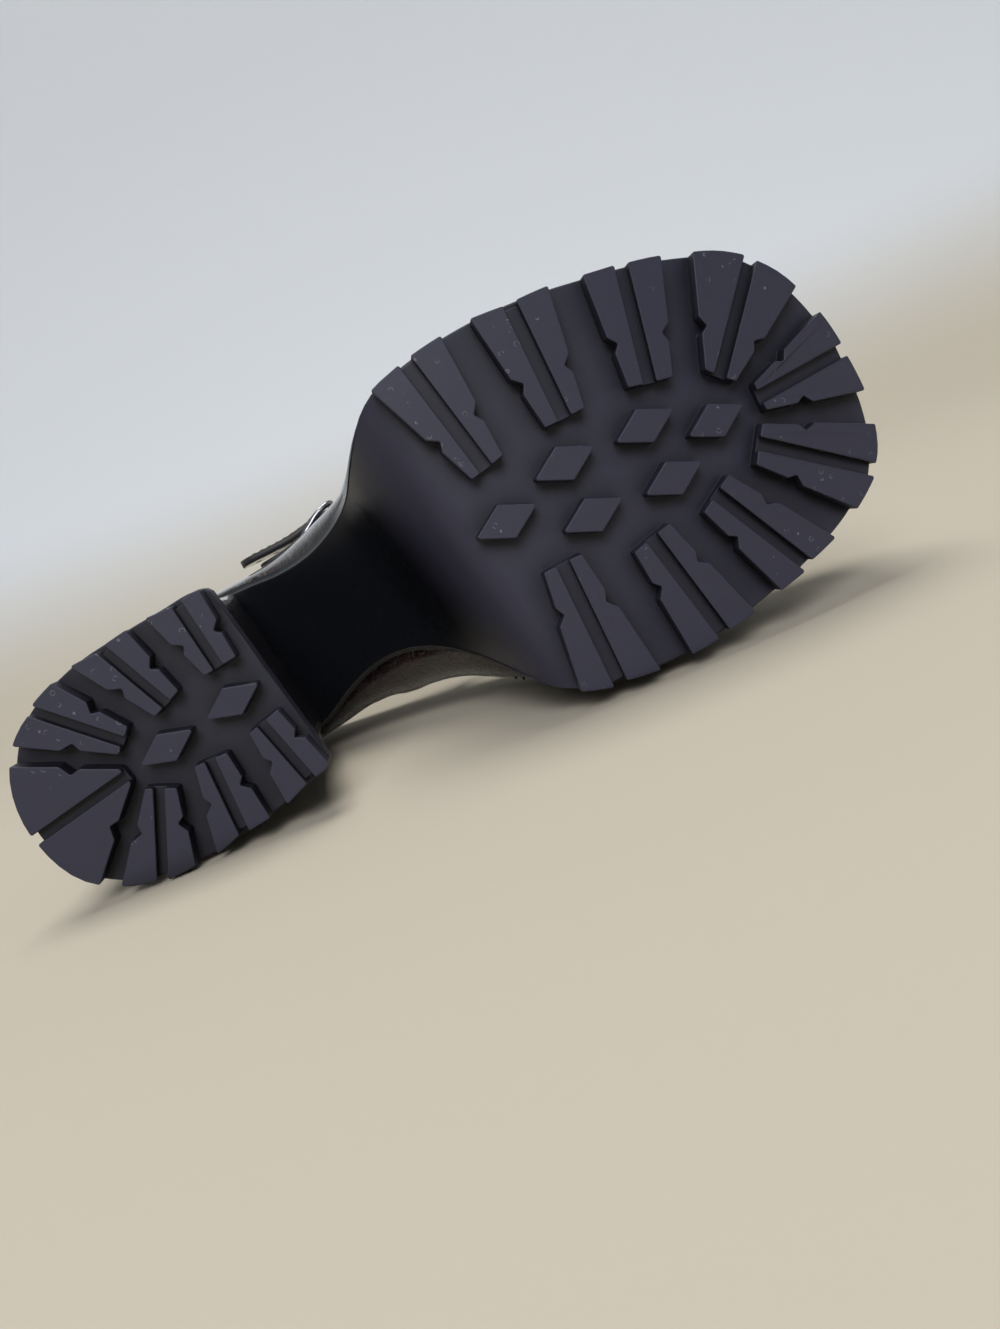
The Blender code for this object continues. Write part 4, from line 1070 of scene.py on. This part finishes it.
def wall_relief(points):
    """How far the upper's face stands out from the last: overlapped quarters and soft creases."""
    relief = np.zeros(len(points))
    for seam in QUARTER_SIDES:
        line = on_last(seam, 60)[0]
        near = polyline_distance(points, line)
        upward = np.argsort(line[:, 2])
        behind = points[:, 0] < np.interp(points[:, 2], line[upward, 2], line[upward, 0])
        same_side = np.sign(points[:, 1]) == np.sign(line[len(line) // 2, 1])
        lap = np.where(behind, np.clip(near / 0.7, 0, 1), -np.exp(-near / 0.9))
        relief += QUARTER_STEP * lap * same_side
    for station, start, end, lean, width, depth in CREASES:
        rows = [(station + lean * t, start + (end - start) * t) for t in np.linspace(0, 1, 5)]
        near = polyline_distance(points, on_last(rows, 24)[0])
        ridges = 0.55 * np.exp(-((near - width) / width) ** 2)
        relief += depth * (ridges - np.exp(-((near / width) ** 2) * 1.6))
    return relief


def make_upper():
    """The whole upper: patent outside, lining inside, open at the top and underneath."""
    count, levels = OUTER.shape[:2]
    relief = wall_relief(OUTER.reshape(-1, 3)).reshape(count, levels)
    relief[:, :2] = 0.0
    shape = Shape()
    outside = [shape.ring(column) for column in OUTER + OUT * relief[:, :, None]]
    inside = [shape.ring(column) for column in OUTER - OUT * UPPER_WALL]
    shape.skin(outside, closed=False, looped=True)
    shape.skin([ring[::-1] for ring in inside], closed=False, finish=1, looped=True)
    for j in range(count):
        i = (j + 1) % count
        shape.face((outside[j][0], inside[j][0], inside[i][0], outside[i][0]), 1)
        if not (CLOSED[j] and CLOSED[i]):
            shape.face((outside[j][-1], outside[i][-1], inside[i][-1], inside[j][-1]))
    shape.made("upper", ["patent", "lining"], replaces=["upper"], sharp=60.0)


def evenly(line, spacing, closed=False):
    """Points a regular distance apart along a line."""
    if closed:
        line = np.vstack([line, line[:1]])
    lengths = lengths_along(line)
    at = np.linspace(0, lengths[-1], max(3, round(lengths[-1] / spacing)) + 1)
    return between(at[:-1] if closed else at, lengths, line)


def topline_loop():
    """The upper's top edge as a closed line, with the wall's normals along it."""
    open_columns = np.flatnonzero(~CLOSED)
    split = np.argmax(np.diff(open_columns)) + 1
    last = open_columns[split - 1 : split] + 1
    order = np.concatenate([open_columns[split:], open_columns[:split], last])
    line = OUTER[order, -1] - OUT[order, -1] * UPPER_WALL / 2
    loop = evenly(np.hstack([line, OUT[order, -1]]), 1.5, closed=True)
    for _ in range(2):
        loop = (np.roll(loop, 1, 0) + 2 * loop + np.roll(loop, -1, 0)) / 4
    return loop[:, :3], unit(loop[:, 3:])


TOP_EDGE, TOP_OUT = topline_loop()


def tube(shape, line, out, wide, deep, sides, closed=True):
    """A round or flattened cord along a line: half widths across the wall and along its face."""
    up = unit(np.cross(direction(line, closed), out))
    section = [(cos(t) * wide, sin(t) * deep) for t in around(sides)]
    rings = [shape.hoop(p, o, u, section) for p, o, u in zip(line, out, up)]
    shape.skin(rings, looped=closed, capped=not closed)


BINDING_THICK = 0.35
BINDING_REACH = 1.5


def make_topline_binding():
    """Narrow strip of patent folded over the top edge."""
    shape = Shape()
    tube(shape, TOP_EDGE, TOP_OUT, UPPER_WALL / 2 + BINDING_THICK, BINDING_REACH, sides=14)
    shape.made("topline_binding", ["strap_patent"], slot="patent")


STITCH_LENGTH = 2.1
STITCH_STEP = 3.0
STITCH_RADIUS = 0.28
STITCH_SECTION = [(STITCH_RADIUS * cos(t), STITCH_RADIUS * sin(t)) for t in around(6)]
# Distances of the stitch rows from the topline and from the quarters' front edges.
TOPLINE_ROW = 3.0
SEAM_ROWS = (1.8, 4.2)
# Along a stitch from its middle in half lengths: height of its thread's centre and its width, in radii.
STITCH_PROFILE = ((-1, -1.0, 0.5), (-0.7, -0.1, 0.9), (0, 0.2, 1.0), (0.7, -0.1, 0.9), (1, -1.0, 0.5))


def stitches(shape, line, out, closed=False):
    """A row of short stitches that dip into the leather at both ends."""
    joined = evenly(np.hstack([line, out]), STITCH_STEP, closed)
    points, normals = joined[:, :3], unit(joined[:, 3:])
    for start, end, normal in zip(points, np.roll(points, -1, 0) if closed else points[1:], normals):
        if np.linalg.norm(end - start) < STITCH_STEP / 2:
            continue
        way = unit(end - start)
        side = np.cross(way, normal)
        rings = []
        for along, height, radius in STITCH_PROFILE:
            centre = (start + end) / 2 + way * along * STITCH_LENGTH / 2 + normal * height * STITCH_RADIUS
            rings.append(shape.hoop(centre, side * radius, normal * radius, STITCH_SECTION))
        shape.skin(rings, capped=True)


def beside(line, out, distance, closed=False):
    """The line moved sideways over the surface."""
    return line + unit(np.cross(out, direction(line, closed))) * distance


def make_upper_stitches():
    """Stitch rows along the topline and beside the quarters' front edges."""
    shape = Shape()
    face = TOP_EDGE + TOP_OUT * (UPPER_WALL / 2 + 0.05)
    stitches(shape, beside(face, TOP_OUT, -TOPLINE_ROW, closed=True), TOP_OUT, closed=True)
    for seam, away in zip(QUARTER_SIDES, (1.0, -1.0)):
        line, normal, _ = on_last(seam[:-1], 120)
        for distance in SEAM_ROWS:
            stitches(shape, beside(line, normal, distance * away) + normal * 0.3, normal)
    shape.made("upper_stitches", ["thread"], slot="patent")


# How far the insole's side stands in from the wall, and its foot in from that side; the share of the
# wall's outward lean that its top edge follows; the height of its foot and the rounding of its top edge.
INSOLE_INSET = 0.6
INSOLE_SPREAD = 0.72
INSOLE_FOOT = 0.8
INSOLE_ROUND = 0.9


def make_insole():
    """Insole sock inside the shoe."""
    shape = Shape()
    places = sample_places(3.0)
    normal = sole_lines(places)[-1]
    angles = np.linspace(-90, 0, LOW_STEPS)
    wall = np.stack([last_point(places, np.full(len(places), angle)) for angle in angles], axis=1)
    around_it = np.roll(wall, -1, 0) - np.roll(wall, 1, 0)
    inner = wall - unit(np.cross(around_it, np.gradient(wall, axis=1))) * UPPER_WALL
    shoulder = inner[:, 0, :2] - normal * INSOLE_INSET

    def sock(x):
        return last_bottom(x) + GAP + INSOLE_THICK

    top = np.array([
        between(INSOLE_THICK, column[:, 2] - last_bottom(column[:, 0]) - GAP, column[:, :2])
        for column in inner
    ])
    top = shoulder + (top - shoulder) * INSOLE_SPREAD
    low = last_bottom(shoulder[:, 0]) + GAP
    rings = [shape.ring(np.column_stack([shoulder - normal * INSOLE_INSET, low]))]
    rings.append(shape.ring(np.column_stack([shoulder, low + INSOLE_FOOT])))
    for inset, drop in reversed(edge_arc(INSOLE_ROUND)):
        edge = top - normal * inset
        rings.append(shape.ring(np.column_stack([edge, sock(edge[:, 0]) - drop])))
    shape.skin(rings)
    cover(shape, rings[0], 8, lambda x: last_bottom(x) + GAP)
    cover(shape, rings[-1], 14, sock)
    shape.made("insole", ["lining"], replaces=["insole"])


# ------------------------------------------------------------------ strap and buckle


BUCKLE_STATION = 7.75
BUCKLE_ANGLE = 27.0
BUCKLE_GAP = 0.55
BUCKLE_LENGTH = 14.0
BUCKLE_WIDTH = 15.8
BUCKLE_CORNER = 3.0
WIRE = 2.0
PRONG_WIRE = 1.4
WIRE_STEP = 0.7
SLOT_MIDDLE = 3.1
SLOT_HALF = 2.6
HOLE_STEP = 7.0
HOLE_RADIUS = 1.15
STITCH_INSET = 1.9
TAB_THICK = 1.8
TAB_LENGTH = 16.0
TAB_LIFT = 0.35
TAB_GAP = 0.5
# Lengths over which each band's two ends are rounded.
STRAP_TIPS = (3.0, 6.0)
TAB_TIPS = (0.6, 5.0)
# The prong's middle line: distance along the strap from the buckle's middle, and out from the strap's.
PRONG_PATH = ((4.9, -2.3), (3.4, 0.0), (1.0, 2.3), (-3.5, 3.6), (-7.0, 4.9), (-9.0, 4.7))
# Height of the ring's wire over the strap's middle line, above it at one end and below at the other.
BUCKLE_OVER = STRAP_THICK / 2 + WIRE / 2 + BUCKLE_GAP


def strap_frames(rows, thick):
    """Points, outward and sideways unit vectors and lengths, every millimetre along a strap's middle line."""
    surface, normal, (lift,) = on_last(rows, 240)
    for _ in range(6):
        for values in (normal, surface):
            values[1:-1] = (values[:-2] + values[1:-1] * 2 + values[2:]) / 4
    line = surface + normal * (lift + thick / 2)[:, None]
    lengths = lengths_along(line)
    places = np.linspace(0, lengths[-1], max(4, round(lengths[-1])) + 1)
    line, normal = between(places, lengths, line), between(places, lengths, normal)
    along = unit(np.gradient(line, axis=0))
    normal = unit(normal - along * np.sum(normal * along, axis=1)[:, None])
    return line, normal, np.cross(along, normal), places


def nearest_place(frames, point):
    """Length along a strap where its middle line is nearest a point."""
    return frames[3][np.argmin(np.linalg.norm(frames[0] - point, axis=1))]


def on_strap(frames, place, across, out):
    """Point at a length along the strap, a distance across it and out from its middle."""
    line, normal, side, places = frames
    middle = between(place, places, line) + between(place, places, side) * across
    return middle + between(place, places, normal) * out


def strap_band(name, frames, width, thick, ends, replaces):
    """A flat band with patent faces, rounded painted edges and rounded tips."""
    line, normal, side, places = frames
    shape = Shape()
    turns = np.radians([-72, -36, 0, 36, 72])
    rings = []
    for centre, out, across, place in zip(line, normal, side, places):
        tip = min(1.0, (place - places[0] + 0.25) / ends[0], (places[-1] - place + 0.25) / ends[1])
        half = width / 2 * sqrt(1 - (1 - tip) ** 2)
        edge = min(thick / 2, half * 0.45) * 0.7
        flat = half - edge
        section = [(flat + edge * cos(t), thick / 2 * sin(t)) for t in turns]
        section += [(flat * s, thick / 2 * (1 + 0.05 * (1 - s * s))) for s in (0.9, 0.5, 0, -0.5, -0.9)]
        section += [(-flat - edge * cos(t), thick / 2 * sin(t)) for t in turns[::-1]]
        section += [(flat * s, -thick / 2) for s in (-0.9, -0.5, 0, 0.5, 0.9)]
        rings.append(shape.hoop(centre, across, out, section))
    shape.skin(rings, finish=([1] * 4 + [0] * 6) * 2, capped=True)
    return shape.made(name, ["strap_patent", "edge"], replaces=replaces)


def punched(strap, frames, middle):
    """Cuts the prong's slot and the row of holes through the strap."""
    shape = Shape()
    holes = [(SLOT_MIDDLE, SLOT_HALF + 0.2)]
    holes += [(SLOT_MIDDLE + HOLE_STEP * k, HOLE_RADIUS) for k in (-3, -2, -1, 1, 2, 3, 4)]
    for at, length in holes:
        rings = []
        for out in (-3.0 * STRAP_THICK, 3.0 * STRAP_THICK):
            rings.append(shape.ring([
                on_strap(frames, middle + at + cos(t) * length, sin(t) * HOLE_RADIUS, out)
                for t in around(20)
            ]))
        shape.skin(rings, capped=True)
    punch = turned(linked("punch", shape.mesh("punch")))
    cut = strap.modifiers.new("holes", "BOOLEAN")
    cut.operation = "DIFFERENCE"
    cut.object = punch
    graph = bpy.context.evaluated_depsgraph_get()
    strap.data = bpy.data.meshes.new_from_object(strap.evaluated_get(graph), depsgraph=graph)
    strap.modifiers.clear()
    bpy.data.objects.remove(punch)


def make_strap(frames, middle):
    """The instep strap with its holes and two rows of stitches."""
    strap = strap_band("strap", frames, STRAP_WIDTH, STRAP_THICK, STRAP_TIPS, ["strap"])
    punched(strap, frames, middle)
    line, out, side, places = frames
    shape = Shape()
    inside = (places > 2.0) & (places < places[-1] - 5.0)
    for across in (-1, 1):
        row = line + side * across * (STRAP_WIDTH / 2 - STITCH_INSET) + out * STRAP_THICK / 2
        stitches(shape, row[inside], out[inside])
    shape.made("strap_stitches", ["thread"], slot="strap_patent")


def round_frame(half_length, half_width, corner, steps=8):
    """A rectangle with round corners, in its own plane."""
    ring = []
    for cx, cy, start in ((1, 1, 0), (-1, 1, 90), (-1, -1, 180), (1, -1, 270)):
        for k in range(steps + 1):
            turn = radians(start + 90 * k / steps)
            ring.append((
                cx * (half_length - corner) + corner * cos(turn),
                cy * (half_width - corner) + corner * sin(turn),
            ))
    return np.array(ring)


def wire(name, line, radius, closed, sides):
    """A bent metal wire in the place of the solid of its name."""
    shape = Shape()
    line = evenly(line, WIRE_STEP, closed)
    flat = np.linalg.svd(line - line.mean(0))[2][2]
    tube(shape, line, np.tile(flat, (len(line), 1)), radius, radius, sides, closed)
    shape.made(name, ["metal"], replaces=[name])


def make_buckle(frames, middle):
    """The metal ring bent over the strap, and its prong."""
    half = BUCKLE_LENGTH / 2
    plan = evenly(round_frame(half, BUCKLE_WIDTH / 2, BUCKLE_CORNER), WIRE_STEP, closed=True)
    ring = np.array([on_strap(frames, middle + u, v, -BUCKLE_OVER * u / half) for u, v in plan])
    wire("buckle_frame", ring, WIRE / 2, True, 16)
    path = np.array([on_strap(frames, middle + u, 0.0, v) for u, v in PRONG_PATH])
    path = spline(np.arange(len(path)), path, np.linspace(0, len(path) - 1.001, 40), closed=False)
    wire("buckle_prong", path, PRONG_WIRE / 2, False, 12)


def make_buckle_tab(frames, middle):
    """Short strap on the lateral quarter that holds the buckle."""
    tab = strap_frames([(station, angle, TAB_LIFT) for station, angle, _ in STRAP_ROWS[7:]], TAB_THICK)
    start = on_strap(frames, middle + BUCKLE_LENGTH / 2 + WIRE / 2 + GAP, 0.0, -BUCKLE_OVER)
    first = nearest_place(tab, start) + TAB_GAP
    inside = (tab[3] >= first) & (tab[3] <= first + TAB_LENGTH)
    part = [values[inside] for values in tab]
    strap_band("buckle_tab", part, STRAP_WIDTH, TAB_THICK, TAB_TIPS, ["buckle_tab"])


def make_strap_and_buckle():
    frames = strap_frames(STRAP_ROWS, STRAP_THICK)
    target = last_point(np.array([station_place(BUCKLE_STATION)]), np.array([BUCKLE_ANGLE]))[0]
    middle = nearest_place(frames, target)
    make_strap(frames, middle)
    make_buckle(frames, middle)
    make_buckle_tab(frames, middle)


# ------------------------------------------------------------------ floor, light and camera


STAGE_REACH = 2.0
STAGE_BEND = 1.3
STAGE_HEIGHT = 3.0
FLOOR_MIDDLE = 0.5


def make_stage():
    """Pale round floor that bends up into a pale wall all round the shoe."""
    turns = np.radians(np.linspace(0, 90, 19))
    flat = STAGE_REACH - STAGE_BEND
    profile = [(FLOOR_MIDDLE, 0.0)]
    profile += [(flat + STAGE_BEND * sin(t), STAGE_BEND - STAGE_BEND * cos(t)) for t in turns]
    profile += [(STAGE_REACH, STAGE_HEIGHT)]
    shape = Shape()
    rings = [
        shape.ring([(reach * cos(t), reach * sin(t), height) for t in around(96)])
        for reach, height in profile
    ]
    shape.face(rings[0])
    shape.skin(rings[::-1])
    mesh = bpy.data.meshes.new("floor")
    mesh.from_pydata(shape.points, [], shape.faces)
    mesh.materials.append(studio_paper("studio_paper"))
    mesh.shade_smooth()
    linked("floor", mesh)


def soft_light(name, place, aim, size, power, colour, spread=180.0):
    """A rectangular lamp that shines from its place towards its aim."""
    light = bpy.data.lights.new(name, "AREA")
    light.spread = radians(spread)
    light.shape = "RECTANGLE"
    light.size, light.size_y = size
    light.energy = power
    light.color = colour
    made = linked(name, light)
    made.location = place
    made.rotation_mode = "QUATERNION"
    made.rotation_quaternion = (Vector(aim) - Vector(place)).to_track_quat("-Z", "Y")


def make_lights():
    """A cool key light over the tread, a wide ceiling light and faint light from all round."""
    soft_light("key_light", (-0.15, -1.40, 0.95), (0.0, 0.0, 0.06), (0.9, 0.8), 5.9, (0.93, 0.95, 1.0), 90.0)
    soft_light("ceiling_light", (0.0, 0.4, 2.5), (0.0, 0.4, 0.0), (1.5, 1.2), 46.0, (1.0, 0.99, 0.97))
    world = bpy.data.worlds.new("studio_air")
    world.use_nodes = True
    air = world.node_tree.nodes["Background"]
    air.inputs["Color"].default_value = (0.80, 0.85, 0.95, 1.0)
    air.inputs["Strength"].default_value = 0.12
    bpy.context.scene.world = world


# The camera looks at the tread from below the shoe's lateral side, and is rolled as the shoe lies.
CAMERA_PLACE = (-0.01166, -0.32301, 0.05800)
CAMERA_RIGHT = (0.92884, -0.09739, -0.35745)
CAMERA_UP = (0.36760, 0.12210, 0.92194)
CAMERA_LENS = 27.09
CAMERA_NEAR = 0.01


def make_camera():
    """The camera at its place, with its picture's right and up directions."""
    camera = bpy.data.cameras.new("camera")
    camera.lens = CAMERA_LENS
    camera.sensor_width = 36.0
    camera.clip_start = CAMERA_NEAR
    right, up = Vector(CAMERA_RIGHT), Vector(CAMERA_UP)
    made = linked("camera", camera)
    turn = Matrix((right, up, right.cross(up))).transposed().to_4x4()
    made.matrix_world = Matrix.Translation(CAMERA_PLACE) @ turn
    bpy.context.scene.camera = made


make_outsole()
make_heel_lift()
make_heel_block()
make_upper()
make_topline_binding()
make_upper_stitches()
make_insole()
make_strap_and_buckle()
make_stage()
make_lights()
make_camera()
bpy.context.scene.view_settings.view_transform = "Standard"
